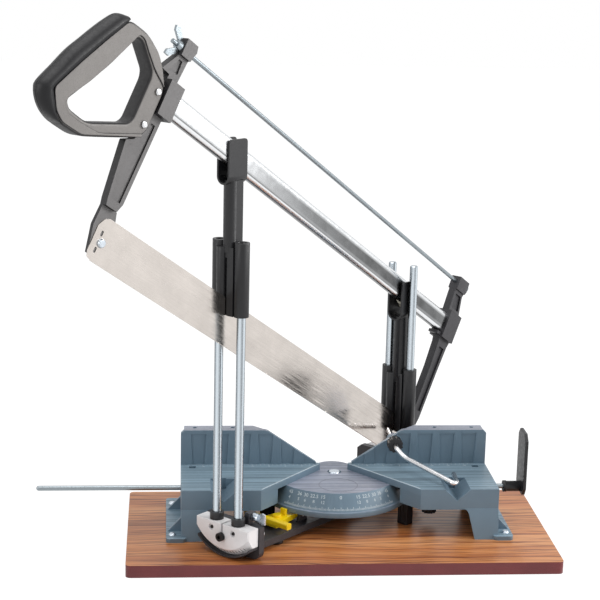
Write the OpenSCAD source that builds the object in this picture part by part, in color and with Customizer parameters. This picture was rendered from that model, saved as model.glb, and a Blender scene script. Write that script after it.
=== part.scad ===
// Hand mitre saw: a frame saw on two pairs of guide rods over a base with tables, fences and a scale
// disc.
// Millimetres. Z up from the underside of the board, X along the fence, the user stands at minus Y.
// The mitre pivot is at X 0, Y 0.

/* [Base] */
// Width of the board
board_w = 500; // [480:2:540]
// Depth of the board
board_d = 241; // [236:1:256]
// Thickness of the board
board_t = 14.7; // [12:0.1:18]
// Radius of the corners of the board
board_corner = 6; // [3:1:20]
// Width over both tables
table_w = 374; // [366:2:384]
// Height of the table tops above the board
table_rise = 59.6; // [58:0.2:63]
// Height of the fences above the tables
fence_h = 43.3; // [40:0.1:47]
// Radius of the scale disc
disc_r = 90; // [86:1:92]

/* [Columns] */
// Diameter of the guide rods
rod_d = 10; // [8:0.5:11]
// Distance between the two rods of a pair
rod_gap = 33; // [31:0.5:36]
// Distance from the pivot to the front rods
front_reach = 191; // [188:1:200]
// Distance from the pivot to the rear rods
rear_reach = 125; // [122:1:132]
// Height of the rear rods above the tables
rear_rod_rise = 233.7; // [215:1:240]
// Height of the front rods above the tables
front_rod_rise = 278; // [262:1:290]

/* [Saw] */
// Height of the blade
blade_h = 48; // [40:0.5:50]
// Thickness of the blade
blade_t = 0.8; // [0.6:0.1:1.2]
// Height of the bar section
bar_h = 27; // [24:0.5:28]
// Thickness of the bar section
bar_t = 13; // [11:0.5:13.5]
// Diameter of the tension rod
tension_d = 5; // [4:0.5:6]
// Thickness of the handle
handle_t = 22; // [20:0.5:26]
// Angle of the arm from straight ahead
mitre = 45; // [45:1:45]
// Slope of the bar with the handle raised
tilt = 32.5; // [32:0.5:33]

/* [Fittings] */
// Diameter of the length stop rod
stop_d = 6; // [5:0.5:7]
// Height of the stop flag above its rod
flag_h = 70; // [50:1:75]
// Diameter of the hold-down rod
clamp_d = 6; // [5:0.5:7]
// Diameter of the holes in the fence tops
fence_hole_d = 5; // [4:0.5:6]

/* [Hidden] */
$fn = 48;
run_gap = 0.05;
seat_gap = 0.02;
move_gap = 0.4;
table_top = board_t + table_rise;
tw2 = table_w / 2;
table_y0 = -86;
skirt_h = 25;
skin_t = 7.3;
wall_t = 6;
fence_y = 7.5;
fence_t = 6;
fence_back = fence_y + fence_t;
fence_top = table_top + fence_h;
nose_x = 17;
nose_back_x = 24;
v_x = 94;
slope_x = 82;
flat_x = 99;
fence_cap = 19;
flute_pitch = 27.1;
flange_w = 17.5;
flange_t = 5;
leg_draft = 8;
foot_x = tw2 + 10;
foot_y0 = -84;
foot_y1 = 20;
disc_top = table_top - skin_t;
disc_flat_r = disc_r - 12;
tongue_r = 24;
lip_z = disc_top - 26.4;
boss_r = 15;
boss_z = disc_top - 26;
pivot_d = 10;
stop_y = -33;
stop_z = disc_top - 4 - stop_d / 2 - 0.6;
lock_x = 113;
clamp_x = 73.5;
clamp_z = table_top + 32.3;
notch_x = 137.5;
notch_w = 31;
notch_h = 14;
notch_y1 = -44;
hole_x = [tw2 - 63, tw2 - 17];
rib_at = [tw2 - 79, tw2 - 47, tw2 - 9];
flute_x = tw2 - 31;
hole_y = fence_y + 11;
rod_way = stop_d / 2 + 0.5;

arm_w = 50;
arm_z0 = board_t + 5;
arm_z1 = board_t + 13;
hub_z = boss_z - 0.3;
lever_pin_s = -74;
lever_pin_z = board_t + 20.5;
lever_s = -122;
lever_z = board_t + 23.8;

front_s = -front_reach;
rear_s = rear_reach;
rod_r = rod_d / 2;
half_gap = rod_gap / 2;
quad_in = 8.5;
quad_out = 9.5;
quad_top = table_top - 19.3;
quad_w = 39.4;
bevel_z = table_top;
quad_sweep = bevel_z - board_t - 0.9;
quad_flare = 9;
plate_t = 8;
plate_gap = 0.5;
plate_w = quad_w + 1.6;
plate_z0 = board_t + 1.4;
plate_corner = 9;
plate_screw_y = 34.5;
plate_screw_z = quad_top - 10;
shoulder_in = 26;
shoulder_w = 50;
shoulder_top = quad_top + 11;
shoulder_step = 4;
plate_s = front_s + quad_in + plate_gap;
lock_s = plate_s + plate_t;
lock_z = quad_top + 8;
rib_r0 = 46;
rib_r1 = 52;
rib_h = 3;
bolt_r = 3;
bolt_reach = 34.3;
collar_h = 9;
collar_r = rod_r + 3;
slot_w = 6;
slot_h = 11;

saw_z = table_top + 278.9;
bar_end_near = -356;
bar_end_far = 262;
bar_r = bar_t / 2;
shoe_s = rear_s + 8;
shoe_z = saw_z - bar_h / 2 / cos(tilt) - shoe_s * tan(tilt);
shoe_u = shoe_s * cos(tilt) - (shoe_z - saw_z) * sin(tilt);
fork_l = 29;
fork_h = 47;
fork_wall = 2.2;
fork_in = bar_r + 2.4;
house_h = 83;
tube_r = rod_r + 3.4;
post_r = 8.2;
rib_x = -7;
rib_y = 7.2;
trough_z = 148;
rear_house_z = shoe_z - 12.5 - trough_z;
front_edge_s = front_s + fork_l / 2;
front_bar_z = shoe_z + (shoe_s - front_edge_s) * tan(tilt);
front_house_z = front_bar_z - 3.8 - trough_z;
blade_c = -160.5;
blade_lo = blade_c - blade_h / 2;
blade_hi = blade_c + blade_h / 2;
blade_end_near = -364;
blade_end_far = 271;
near_bolt_u = -351;
far_bolt_u = 263;
bolt_v = -163;
tension_v = 57;
tension_r = tension_d / 2;
hand_y = handle_t / 2;
tongue_y = 3;
web_lo = blade_hi + 0.5;
nut_u = -360.2;
flag_x = tw2 + 35.6;

// Frame of the mitre arm: x runs from the user to the rear, y to the left
module at_arm() {
  rotate([0, 0, 90 - mitre]) children();
}

// Frame of the saw: x along the bar towards the tip, z across it
module at_saw() {
  at_arm() translate([0, 0, saw_z]) rotate([0, tilt, 0]) children();
}

// Profile in x and z, pushed along y from y0 to y1
module along_y(y0, y1) {
  translate([0, y1, 0]) rotate([90, 0, 0]) linear_extrude(height = y1 - y0) children();
}

// Profile in y and z, pushed along x from x0 to x1
module along_x(x0, x1) {
  translate([x0, 0, 0]) rotate([90, 0, 90]) linear_extrude(height = x1 - x0) children();
}

// Round bar along x
module bar_x(x0, x1, r) {
  translate([x0, 0, 0]) rotate([0, 90, 0]) cylinder(r = r, h = x1 - x0);
}

// Round bar along y
module bar_y(y0, y1, r) {
  translate([0, y1, 0]) rotate([90, 0, 0]) cylinder(r = r, h = y1 - y0);
}

module slab(x0, x1, y0, y1, z0, z1) {
  translate([x0, y0, z0]) cube([x1 - x0, y1 - y0, z1 - z0]);
}

// Flat rectangle with round corners, for pushing
module round_rect(x0, x1, y0, y1, r) {
  translate([x0 + r, y0 + r]) square([x1 - x0 - 2 * r, y1 - y0 - 2 * r]);
  translate([x0 + r, y0]) square([x1 - x0 - 2 * r, y1 - y0]);
  translate([x0, y0 + r]) square([x1 - x0, y1 - y0 - 2 * r]);
  translate([x0 + r, y0 + r]) circle(r = r);
  translate([x1 - r, y0 + r]) circle(r = r);
  translate([x0 + r, y1 - r]) circle(r = r);
  translate([x1 - r, y1 - r]) circle(r = r);
}

module base_board() {
  color([0.78, 0.5, 0.32])
  translate([0, -165, 0])
  difference() {
    linear_extrude(height = board_t) round_rect(-board_w / 2, board_w / 2, 0, board_d,
      board_corner);
    for (x = [-foot_x, foot_x], y = [foot_y0, foot_y1])
      translate([x, y + 165, board_t - 11]) cylinder(r = 2 + seat_gap, h = 12);
  }
}

// Right table on its front and back legs, with the flange for the foot screws; right has the stop lock
module table_half(right) {
  difference() {
    union() {
      translate([0, 0, table_top - skin_t])
        linear_extrude(height = skin_t)
          polygon([[nose_x + 1.6, fence_y - 2], [v_x, table_y0], [tw2, table_y0], [tw2, fence_back],
            [nose_back_x - 2, fence_back], [nose_x + 0.6, fence_y + 4.5], [nose_x, fence_y + 1]]);
      translate([0, 0, table_top - skirt_h])
        linear_extrude(height = skirt_h - 1)
          polygon([[v_x - 21, table_y0 + 25.5], [v_x, table_y0], [tw2, table_y0],
            [tw2, table_y0 + wall_t],
            [v_x + 3, table_y0 + wall_t], [v_x - 14, table_y0 + 25.5]]);
      slab(tw2 - wall_t, tw2, table_y0, fence_back, board_t, table_top);
      intersection() {
        along_y(table_y0 - leg_draft - 1, table_y0 + wall_t)
          polygon([[tw2 - 41, table_top - skirt_h + 1], [tw2 - 37.5, table_top - skirt_h - 1],
            [tw2 - 35, table_top - skirt_h - 5], [tw2 - 28, board_t], [tw2, board_t],
            [tw2, table_top - skirt_h + 1]]);
        along_x(tw2 - 50, tw2 + 1)
          polygon([[table_y0, table_top - skirt_h + 2], [table_y0 - leg_draft, board_t],
            [table_y0 - leg_draft + wall_t, board_t], [table_y0 + wall_t, table_top - skirt_h + 2]]);
      }
      along_y(fence_back - wall_t, fence_back)
        polygon([[tw2 - 34, table_top - skin_t + 1], [tw2 - 26, board_t], [tw2, board_t],
          [tw2, table_top - skin_t + 1]]);
      translate([0, 0, board_t]) linear_extrude(height = flange_t)
        round_rect(tw2 - wall_t, tw2 + flange_w, table_y0 - 12, fence_y + 32, 5);
      for (y = [-73, -1])
        along_y(y, y + 4)
          polygon([[tw2 - 1, board_t + 1], [tw2 + flange_w - 2, board_t + flange_t - 1],
            [tw2 + flange_w - 2, board_t + flange_t], [tw2 - 1, board_t + flange_t + 18]]);
      slab(notch_x - notch_w / 2 - 6, notch_x + notch_w / 2 + 6, table_y0, notch_y1 + 5,
        table_top - skirt_h, table_top - 1);
      if (right)
        translate([lock_x, stop_y, stop_z - 9]) cylinder(r = 8,
          h = table_top - skin_t + 1 - stop_z + 9);
    }
    // vee notch at the front of the table, with a pocket behind it
    along_y(table_y0 - 1, notch_y1)
      polygon([[notch_x - notch_w / 2 - 1, table_top + 1], [notch_x, table_top - notch_h],
        [notch_x + notch_w / 2 + 1, table_top + 1]]);
    slab(notch_x - 4, notch_x + 4, notch_y1 - 4, notch_y1 + 2, table_top - notch_h, table_top + 1);
    // slot near the outer end of the fence foot
    slab(tw2 - 18, tw2 - 10, -6, 1, table_top - 3, table_top + 1);
    translate([tw2 - 20, stop_y, stop_z]) bar_x(0, 24, stop_d / 2 + run_gap);
    slab(lock_x - 20, lock_x + 20, stop_y - rod_way, stop_y + rod_way, stop_z - rod_way,
      stop_z + rod_way);
    for (y = [foot_y0, foot_y1])
      translate([foot_x, y, board_t - 1]) cylinder(r = 2.5 + seat_gap, h = flange_t + 2);
    if (right)
      translate([lock_x, stop_y, stop_z - 10]) cylinder(r = 2.5 + run_gap, h = 9);
  }
}

// Right fence, fluted in front and ribbed behind under a deep cap; right has the boss for the hold-down
module fence_half(right) {
  difference() {
    union() {
      along_y(fence_y, fence_back)
        polygon([[nose_x + 5, table_top], [nose_x + 5, table_top + 2], [slope_x, fence_top - 1],
          [slope_x + 3, fence_top], [tw2 - 4, fence_top], [tw2, fence_top - 4], [tw2, table_top]]);
      translate([0, 0, fence_top - 4])
        linear_extrude(height = 4)
          polygon([[slope_x + 4, fence_back - 1], [flat_x, fence_y + fence_cap],
            [tw2 - 4, fence_y + fence_cap],
            [tw2 - 4, fence_back - 1]]);
      for (x = rib_at)
        along_x(x, x + 4)
          polygon([[fence_back - 1, table_top], [fence_back, table_top],
            [fence_y + fence_cap, fence_top - 6],
            [fence_y + fence_cap, fence_top - 1], [fence_back - 1, fence_top - 1]]);
      for (x = hole_x)
        translate([x, hole_y, fence_top - 18]) cylinder(r = fence_hole_d / 2 + 2.6, h = 17);
      if (right)
        translate([clamp_x, fence_back - 1, clamp_z - 5]) rotate([-90, 0, 0]) cylinder(r = 8, h = 9);
    }
    difference() {
      for (i = [0 : 5])
        let (x = flute_x - i * flute_pitch)
          along_y(fence_y - 1, fence_y + 1.6)
            polygon([[x + 2, table_top - 1], [x + 16.8, table_top - 1], [x + 19, fence_top - 4.5],
              [x, fence_top - 4.5]]);
      if (right)
        translate([clamp_x, fence_y - 2, clamp_z - 5]) rotate([-90, 0, 0]) cylinder(r = 9.8, h = 8);
    }
    for (x = hole_x)
      translate([x, hole_y, fence_top - 16]) cylinder(r = fence_hole_d / 2, h = 17);
    if (right)
      translate([clamp_x, fence_y - 1, clamp_z - 5]) rotate([-90, 0, 0]) cylinder(r = 5 + run_gap,
        h = 20);
  }
}

module left_table() {
  color([0.5, 0.58, 0.63]) mirror([1, 0, 0]) table_half(false);
}

module right_table() {
  color([0.5, 0.58, 0.63]) table_half(true);
}

module left_fence() {
  color([0.5, 0.58, 0.63]) mirror([1, 0, 0]) fence_half(false);
}

module right_fence() {
  color([0.5, 0.58, 0.63]) fence_half(true);
}

// Scale disc with a sloping rim and a lip, cut off behind except for a tongue round the pivot
module scale_disc() {
  color([0.55, 0.6, 0.65])
  difference() {
    intersection() {
      rotate_extrude($fn = 120)
        polygon([[pivot_d / 2 + seat_gap, boss_z], [boss_r, boss_z], [boss_r, disc_top - 4],
          [disc_flat_r - 3, disc_top - 4], [disc_r - 5, disc_top - 21], [disc_r - 4.5, lip_z],
          [disc_r, lip_z],
          [disc_r, disc_top - 20.6], [disc_r - 2, disc_top - 20], [disc_flat_r, disc_top],
          [pivot_d / 2 + seat_gap, disc_top]]);
      translate([0, 0, lip_z - 1])
        linear_extrude(height = disc_top - lip_z + 2)
          union() {
            translate([-disc_r - 1, -disc_r - 1]) square([2 * disc_r + 2, disc_r + fence_back]);
            translate([0, tongue_r * 0.65]) circle(r = tongue_r);
          }
    }
    slab(-disc_r - 5, disc_r + 5, stop_y - rod_way, stop_y + rod_way, stop_z - rod_way,
      stop_z + rod_way);
    translate([0, 0, disc_top - 2]) cylinder(r = 8.4, h = 10);
  }
}

// Ribbed posts that the arm comes up against at either end of its swing
module swing_stops() {
  color([0.08, 0.08, 0.09])
  for (k = [0, 1])
    mirror([k, 0, 0])
      rotate([0, 0, -45])
        difference() {
          slab(79, 93, arm_w / 2 + 0.8, arm_w / 2 + 13, board_t, lip_z - 0.2);
          for (x = [82, 86, 90])
            slab(x - 0.8, x + 0.8, arm_w / 2, arm_w / 2 + 2, board_t + 4, lip_z);
        }
}

module foot_screws() {
  color([0.72, 0.72, 0.72])
  for (x = [-foot_x, foot_x], y = [foot_y0, foot_y1])
    translate([x, y, board_t]) {
      translate([0, 0, flange_t]) cylinder(r1 = 4.6, r2 = 3, h = 2.2);
      translate([0, 0, -10]) cylinder(r = 2, h = 10 + flange_t + 0.5);
    }
}

module pivot_bolt() {
  color([0.93, 0.93, 0.93]) {
    translate([0, 0, disc_top - 1.98]) cylinder(r1 = 7.6, r2 = 6.4, h = 3);
    translate([0, 0, board_t + 3]) cylinder(r = pivot_d / 2, h = disc_top - 1.98 - board_t - 3 + 0.1);
    translate([0, 0, board_t + 2.4]) cylinder(r = 8.5, h = 6, $fn = 6);
  }
}

module stop_screw() {
  color([0.16, 0.16, 0.17])
  translate([lock_x, stop_y, 0]) {
    translate([0, 0, stop_z - 30]) cylinder(r = 2.5, h = 30 - stop_d / 2 - 0.2);
    difference() {
      translate([0, 0, stop_z - 32]) cylinder(r = 9, h = 12);
      for (a = [0 : 30 : 330])
        rotate([0, 0, a]) translate([10, 0, stop_z - 33]) cylinder(r = 2, h = 14, $fn = 16);
    }
  }
}

module stop_rod() {
  color([0.72, 0.72, 0.74])
  translate([0, stop_y, stop_z]) {
    bar_x(-355, flag_x + 4.4, stop_d / 2);
    translate([-355, 0, 0]) sphere(r = stop_d / 2 - 0.01, $fn = 24);
  }
}

module stop_hub() {
  color([0.12, 0.12, 0.13])
  translate([0, stop_y, stop_z])
  difference() {
    union() {
      bar_x(tw2 + 15, flag_x, 6.3);
      bar_x(tw2 + 15, tw2 + 19, 6.9);
    }
    bar_x(tw2 + 14, flag_x + 1, stop_d / 2 + run_gap);
  }
}

module stop_flag() {
  color([0.1, 0.1, 0.11])
  translate([0, stop_y, stop_z])
  difference() {
    along_x(flag_x, flag_x + 4)
      polygon([[-14, -6.5], [14, -6.5], [20, 2], [20, flag_h - 8], [12, flag_h], [-12, flag_h],
        [-20, flag_h - 8],
        [-20, 2]]);
    bar_x(flag_x - 1, flag_x + 5, stop_d / 2 + run_gap);
  }
}

module clamp_knob() {
  color([0.1, 0.1, 0.11])
  translate([clamp_x, 0, clamp_z - 5]) {
    difference() {
      union() {
        translate([0, fence_y - 0.4, 0]) rotate([90, 0, 0]) cylinder(r = 9.5, h = 12);
        translate([0, fence_back + 8.2, 0]) rotate([90, 0, 0]) cylinder(r = 5, h = fence_t + 9);
      }
      for (a = [0 : 30 : 330])
        rotate([0, a, 0]) translate([10.4, fence_y, 0]) rotate([90, 0, 0]) cylinder(r = 2, h = 14,
          $fn = 16);
      bar_y(-20, 40, clamp_d / 2 + run_gap);
    }
  }
}

// Centre line of the hold-down rod, from the knob out over the table and back
module clamp_rod() {
  color([0.8, 0.8, 0.8]) {
    translate([clamp_x, 0, clamp_z - 5]) bar_y(-17, 58, clamp_d / 2);
    translate([clamp_x, -17, clamp_z - 5]) sphere(r = clamp_d / 2, $fn = 24);
    clamp_leg([clamp_x, -17, clamp_z - 5], [clamp_x + 8, -24, clamp_z - 13]);
    translate([clamp_x + 8, -24, clamp_z - 13]) sphere(r = clamp_d / 2, $fn = 24);
    clamp_leg([clamp_x + 8, -24, clamp_z - 13], [132, -84, table_top + 7]);
    translate([132, -84, table_top + 7]) sphere(r = clamp_d / 2, $fn = 24);
    clamp_leg([132, -84, table_top + 7], [137, -80, table_top + 6]);
    translate([137, -80, table_top + 6]) sphere(r = clamp_d / 2, $fn = 24);
    clamp_leg([137, -80, table_top + 6], [139, -46, table_top + 5]);
    translate([139, -46, table_top + 5]) sphere(r = clamp_d / 2, $fn = 24);
  }
}

// Straight piece of round rod between two points
module clamp_leg(a, b) {
  d = b - a;
  l = norm(d);
  translate(a) rotate([0, acos(d[2] / l), atan2(d[1], d[0])]) cylinder(r = clamp_d / 2 - 0.01, h = l);
}

module swing_arm() {
  color([0.25, 0.26, 0.28])
  at_arm()
  difference() {
    union() {
      slab(front_s + quad_in + plate_gap + plate_t, rear_s - quad_in - plate_gap - plate_t,
        -arm_w / 2, arm_w / 2,
        arm_z0, arm_z1);
      translate([0, 0, arm_z1 - 1]) cylinder(r = 20, h = hub_z - arm_z1 + 1);
      for (y = [-14, 10])
        along_y(y, y + 4)
          polygon([[lever_pin_s - 8, arm_z1 - 1], [lever_pin_s + 8, arm_z1 - 1],
            [lever_pin_s + 5, lever_pin_z + 4],
            [lever_pin_s - 5, lever_pin_z + 4]]);
    }
    slab(front_s + 40, -26, -arm_w / 2 + 5, arm_w / 2 - 5, arm_z0 - 1, arm_z1 - 4);
    slab(26, rear_s - 40, -arm_w / 2 + 5, arm_w / 2 - 5, arm_z0 - 1, arm_z1 - 4);
    translate([0, 0, arm_z0 - 1]) cylinder(r = pivot_d / 2 + run_gap, h = 40);
    translate([0, 0, arm_z0 - 1]) cylinder(r = 10, h = 5);
    translate([lever_pin_s, 0, lever_pin_z]) bar_y(-16, 16, 2 + seat_gap);
  }
}

module arm_feet() {
  color([0.07, 0.07, 0.08])
  at_arm()
  for (y = [-16, 16])
    translate([-124, y, board_t + 0.3]) {
      cylinder(r = 8, h = 4.6);
      translate([0, 0, 4.6]) cylinder(r = 4, h = arm_z1 - 4 - board_t - 5);
    }
}

// Upright plate with the arc slot for the clamp bolt; side is the way its outer face looks along x
module half_plate(x0, side) {
  difference() {
    union() {
      along_x(x0, x0 + plate_t)
        difference() {
          round_rect(-plate_w, plate_w, plate_z0, quad_top + 2 * plate_corner, plate_corner);
          translate([-80, quad_top]) square([160, 80]);
        }
      intersection() {
        translate([side > 0 ? x0 + plate_t - 1 : x0 - rib_h, 0, bevel_z]) rotate([0, 90, 0])
          difference() {
            cylinder(r = rib_r1, h = rib_h + 1, $fn = 120);
            translate([0, 0, -1]) cylinder(r = rib_r0, h = rib_h + 3, $fn = 120);
          }
        slab(x0 - rib_h - 1, x0 + plate_t + rib_h + 1, -17, 17, board_t + 3, quad_top);
      }
      children();
    }
    slab(x0 - 5, x0 + plate_t + 5, -slot_w / 2, slot_w / 2, quad_top - slot_h, quad_top + 10);
    intersection() {
      translate([x0 - 6, 0, bevel_z]) rotate([0, 90, 0])
        difference() {
          cylinder(r = bolt_reach + bolt_r + 0.4, h = plate_t + 12, $fn = 96);
          translate([0, 0, -1]) cylinder(r = bolt_reach - bolt_r - 0.4, h = plate_t + 14, $fn = 96);
        }
      along_x(x0 - 5, x0 + plate_t + 5)
        polygon([[0, bevel_z], [8, bevel_z - 60], [-70, bevel_z - 56]]);
    }
    for (y = [-plate_screw_y, plate_screw_y])
      translate([0, y, plate_screw_z]) bar_x(x0 - 5, x0 + plate_t + 5, 2.5 + seat_gap);
  }
}

// The front plate also carries a lug for the lock screw, above the path of the clamp bolt's nut
module front_plate() {
  color([0.2, 0.21, 0.23])
  at_arm()
  difference() {
    union() {
      half_plate(plate_s, -1);
      along_y(-24, -17)
        polygon([[plate_s + 0.5, quad_top - 1.5], [plate_s + plate_t - 0.5, quad_top - 1.5],
          [plate_s + plate_t - 0.5, quad_top + 1.8], [plate_s + plate_t + 4, quad_top + 3.5],
          [plate_s + plate_t + 4, lock_z + 5], [plate_s + 1.5, lock_z + 5],
          [plate_s + 0.5, lock_z + 2]]);
    }
    translate([lock_s, 0, lock_z]) bar_y(-25, -16, 2.5 + run_gap);
  }
}

// Shoulder at the left end of the rear plate and quadrant, from x0 to x1 and out to y w
module rear_shoulder(x0, x1, w) {
  along_x(x0, x1)
    polygon([[shoulder_in, quad_top - 23], [shoulder_in, shoulder_top], [w - 6, shoulder_top],
      [w, shoulder_top - 5], [w, quad_top - 11], [w - 9, quad_top - 23]]);
}

module rear_plate() {
  color([0.2, 0.21, 0.23])
  at_arm()
  half_plate(rear_s - quad_in - plate_gap - plate_t, 1)
    rear_shoulder(rear_s - quad_in - plate_gap - plate_t, rear_s - quad_in - plate_gap, shoulder_w);
}

module plate_screws() {
  color([0.7, 0.7, 0.7])
  at_arm()
  for (y = [-plate_screw_y, plate_screw_y]) {
    translate([front_s + quad_in + plate_gap, y, plate_screw_z]) {
      bar_x(0.5, plate_t + 3, 2.5);
      bar_x(plate_t, plate_t + 3, 4.5);
    }
    translate([rear_s - quad_in - plate_gap, y, plate_screw_z]) {
      bar_x(-plate_t - 3, -0.5, 2.5);
      bar_x(-plate_t - 3, -plate_t, 4.5);
    }
  }
}

module index_lever() {
  color([0.95, 0.82, 0.05])
  at_arm()
  difference() {
    union() {
      translate([lever_pin_s, 0, lever_pin_z]) bar_y(-9.6, 9.6, 4.9);
      translate([0, 0, lever_pin_z - 4])
        linear_extrude(height = 6)
          polygon([[lever_s, -14], [lever_s, 14], [lever_pin_s - 12, 9], [lever_pin_s, 7],
            [lever_pin_s, -7],
            [lever_pin_s - 12, -9]]);
      along_y(-33.5, 33.5) round_rect(lever_s - 4, lever_s + 4, lever_z - 4, lever_z + 3.6, 2);
      slab(-disc_r - 5, -disc_r - 1.5, -4, 4, lever_pin_z, lip_z + 4);
      translate([lever_s + 17, 0, lever_pin_z]) cylinder(r = 5, h = 5.4);
    }
    translate([lever_pin_s, 0, lever_pin_z]) bar_y(-16, 16, 2 + run_gap);
  }
}

module lever_pin() {
  color([0.7, 0.7, 0.7])
  at_arm() translate([lever_pin_s, 0, lever_pin_z]) bar_y(-14.5, 14.5, 2);
}

module bevel_screw() {
  color([0.78, 0.78, 0.78])
  at_arm()
  translate([lock_s, 0, lock_z]) {
    bar_y(-32, -15.5, 2.5);
    bar_y(-33, -24.3, 4.6);
    along_x(-1, 1)
      polygon([[-31, -4.5], [-38, -7], [-42, -6], [-42, 6], [-38, 7], [-31, 4.5]]);
  }
}

// Casting that carries a pair of rods, round below about the bevel line; side is the way its inner
// face looks along x
module quadrant(s, side) {
  x0 = side > 0 ? s - quad_out : s - quad_in;
  x1 = side > 0 ? s + quad_in : s + quad_out;
  face = side > 0 ? x1 : x0;
  difference() {
    union() {
      intersection() {
        along_x(x0, x1)
          intersection() {
            translate([0, bevel_z]) circle(r = quad_sweep, $fn = 96);
            translate([-quad_w, 0]) square([2 * quad_w, quad_top]);
          }
        // the outer face is a smaller half round, flaring to the inner face
        translate([x0, 0, quad_top]) rotate([0, 90, 0])
          cylinder(r1 = side > 0 ? quad_w : quad_w + quad_flare,
            r2 = side > 0 ? quad_w + quad_flare : quad_w,
            h = x1 - x0, $fn = 96);
      }
      children();
    }
    slab(x0 - 1, x1 + 1, -slot_w / 2, slot_w / 2, quad_top - slot_h, quad_top + 1);
    translate([side > 0 ? face - rib_h - 0.4 : face - 1, 0, bevel_z]) rotate([0, 90, 0])
      difference() {
        cylinder(r = rib_r1 + run_gap, h = rib_h + 1.4, $fn = 120);
        translate([0, 0, -1]) cylinder(r = rib_r0 - run_gap, h = rib_h + 4, $fn = 120);
      }
    for (y = [-half_gap, half_gap])
      translate([s, y, quad_top - 14]) cylinder(r = rod_r + seat_gap, h = 16);
    translate([0, 0, bevel_z - bolt_reach]) bar_x(x0 - 1, x1 + 1, bolt_r + seat_gap);
    for (y = [-half_gap, half_gap])
      translate([0, y, quad_top - 8])
        bar_x(side > 0 ? x0 - 1 : s + rod_r - 1, side > 0 ? s - rod_r + 1 : x1 + 1, 2 + seat_gap);
  }
}

module front_quadrant() {
  color([0.88, 0.87, 0.87])
  at_arm() quadrant(front_s, 1);
}

module rear_quadrant() {
  color([0.6, 0.62, 0.64])
  at_arm()
  difference() {
    quadrant(rear_s, -1) rear_shoulder(rear_s - quad_in, rear_s + quad_out, shoulder_w - 3);
    // ribs across the top of the shoulder
    for (x = [rear_s - quad_in + 2 : shoulder_step : rear_s + quad_out - 2])
      slab(x, x + shoulder_step / 2, shoulder_in - 1, shoulder_w, shoulder_top - 1, shoulder_top + 1);
  }
}

module rod_pair(s, rise) {
  for (y = [-half_gap, half_gap])
    translate([s, y, quad_top - 13.9]) {
      cylinder(r = rod_r, h = table_top + rise - quad_top + 13.9 - 1);
      translate([0, 0, table_top + rise - quad_top + 13.9 - 1]) cylinder(r1 = rod_r, r2 = rod_r - 1,
        h = 1);
    }
}

module front_rods() {
  color([0.78, 0.8, 0.82])
  at_arm() rod_pair(front_s, front_rod_rise);
}

module rear_rods() {
  color([0.78, 0.8, 0.82])
  at_arm() rod_pair(rear_s, rear_rod_rise);
}

module rod_collars() {
  color([0.1, 0.1, 0.11])
  at_arm()
  for (s = [front_s, rear_s], y = [-half_gap, half_gap])
    translate([s, y, quad_top + 0.02])
      difference() {
        cylinder(r = collar_r, h = collar_h);
        translate([0, 0, -1]) cylinder(r = rod_r + seat_gap, h = collar_h + 2);
      }
}

module bevel_bolts() {
  color([0.75, 0.75, 0.76])
  at_arm()
  translate([0, 0, bevel_z - bolt_reach]) {
    bar_x(front_s - quad_out - 0.5, front_s + quad_in + plate_gap + plate_t + 5, bolt_r);
    difference() {
      bar_x(front_s - quad_out - 5, front_s - quad_out, 5);
      translate([front_s - quad_out - 6, 0, 0]) rotate([0, 90, 0]) cylinder(r = 2.6, h = 4, $fn = 6);
    }
    translate([front_s + quad_in + plate_gap + plate_t + 0.5, 0, 0]) rotate([0, 90, 0])
      cylinder(r = 5.7, h = 5, $fn = 6);
    bar_x(rear_s - quad_in - plate_gap - plate_t - 5, rear_s + quad_out + 0.5, bolt_r);
    difference() {
      bar_x(rear_s + quad_out, rear_s + quad_out + 5, 5);
      translate([rear_s + quad_out + 2, 0, 0]) rotate([0, 90, 0]) cylinder(r = 2.6, h = 4, $fn = 6);
    }
    translate([rear_s - quad_in - plate_gap - plate_t - 5.5, 0, 0]) rotate([0, 90, 0])
      cylinder(r = 5.7, h = 5, $fn = 6);
  }
}

module quadrant_screws() {
  color([0.3, 0.3, 0.32])
  at_arm()
  for (y = [-half_gap, half_gap]) {
    translate([0, y, quad_top - 8]) bar_x(front_s - quad_out + 0.8, front_s - rod_r - 0.02, 2);
    translate([0, y, quad_top - 8]) bar_x(rear_s + rod_r + 0.02, rear_s + quad_out - 0.8, 2);
  }
}

// Plastic guide: two tubes on the rods, a slot for the blade, a post and a fork for the bar.
// Stands with the foot of its tubes at z 0; inner is half the width inside the fork.
module guide(inner) {
  outer = inner + fork_wall;
  difference() {
    union() {
      for (y = [-half_gap, half_gap])
        translate([0, y, 0]) cylinder(r = tube_r, h = house_h);
      for (k = [-1, 1])
        slab(-8, 8, k > 0 ? 1.4 : -half_gap + rod_r + 1, k > 0 ? half_gap - rod_r - 1 : -1.4, 0,
          house_h - 6);
      slab(-8, 8, -half_gap + rod_r + 1, half_gap - rod_r - 1, house_h - 18, house_h - 6);
      translate([rib_x, rib_y, 0]) cylinder(r = rib_y - 1.4, h = house_h - 6);
      translate([0, 0, house_h - 12])
        linear_extrude(height = trough_z - house_h + 14) {
          translate([-1.3, 0]) circle(r = post_r);
          translate([-1.3, -post_r]) square([10.8, 2 * post_r]);
        }
      intersection() {
        along_x(-fork_l / 2, fork_l / 2)
          difference() {
            union() {
              translate([0, trough_z + inner]) circle(r = outer);
              translate([-outer, trough_z + inner]) square([2 * outer, fork_h - inner]);
            }
            translate([0, trough_z + inner]) circle(r = inner);
            translate([-inner, trough_z + inner]) square([2 * inner, fork_h]);
          }
        along_y(-outer - 1, outer + 1)
          round_rect(-fork_l / 2, fork_l / 2, trough_z - 8, trough_z + fork_h, 4);
      }
    }
    for (y = [-half_gap, half_gap])
      translate([0, y, -1]) cylinder(r = rod_r + run_gap, h = house_h + 2);
    slab(-30, 30, -1.4, 1.4, -1, house_h - 18);
  }
}

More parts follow.
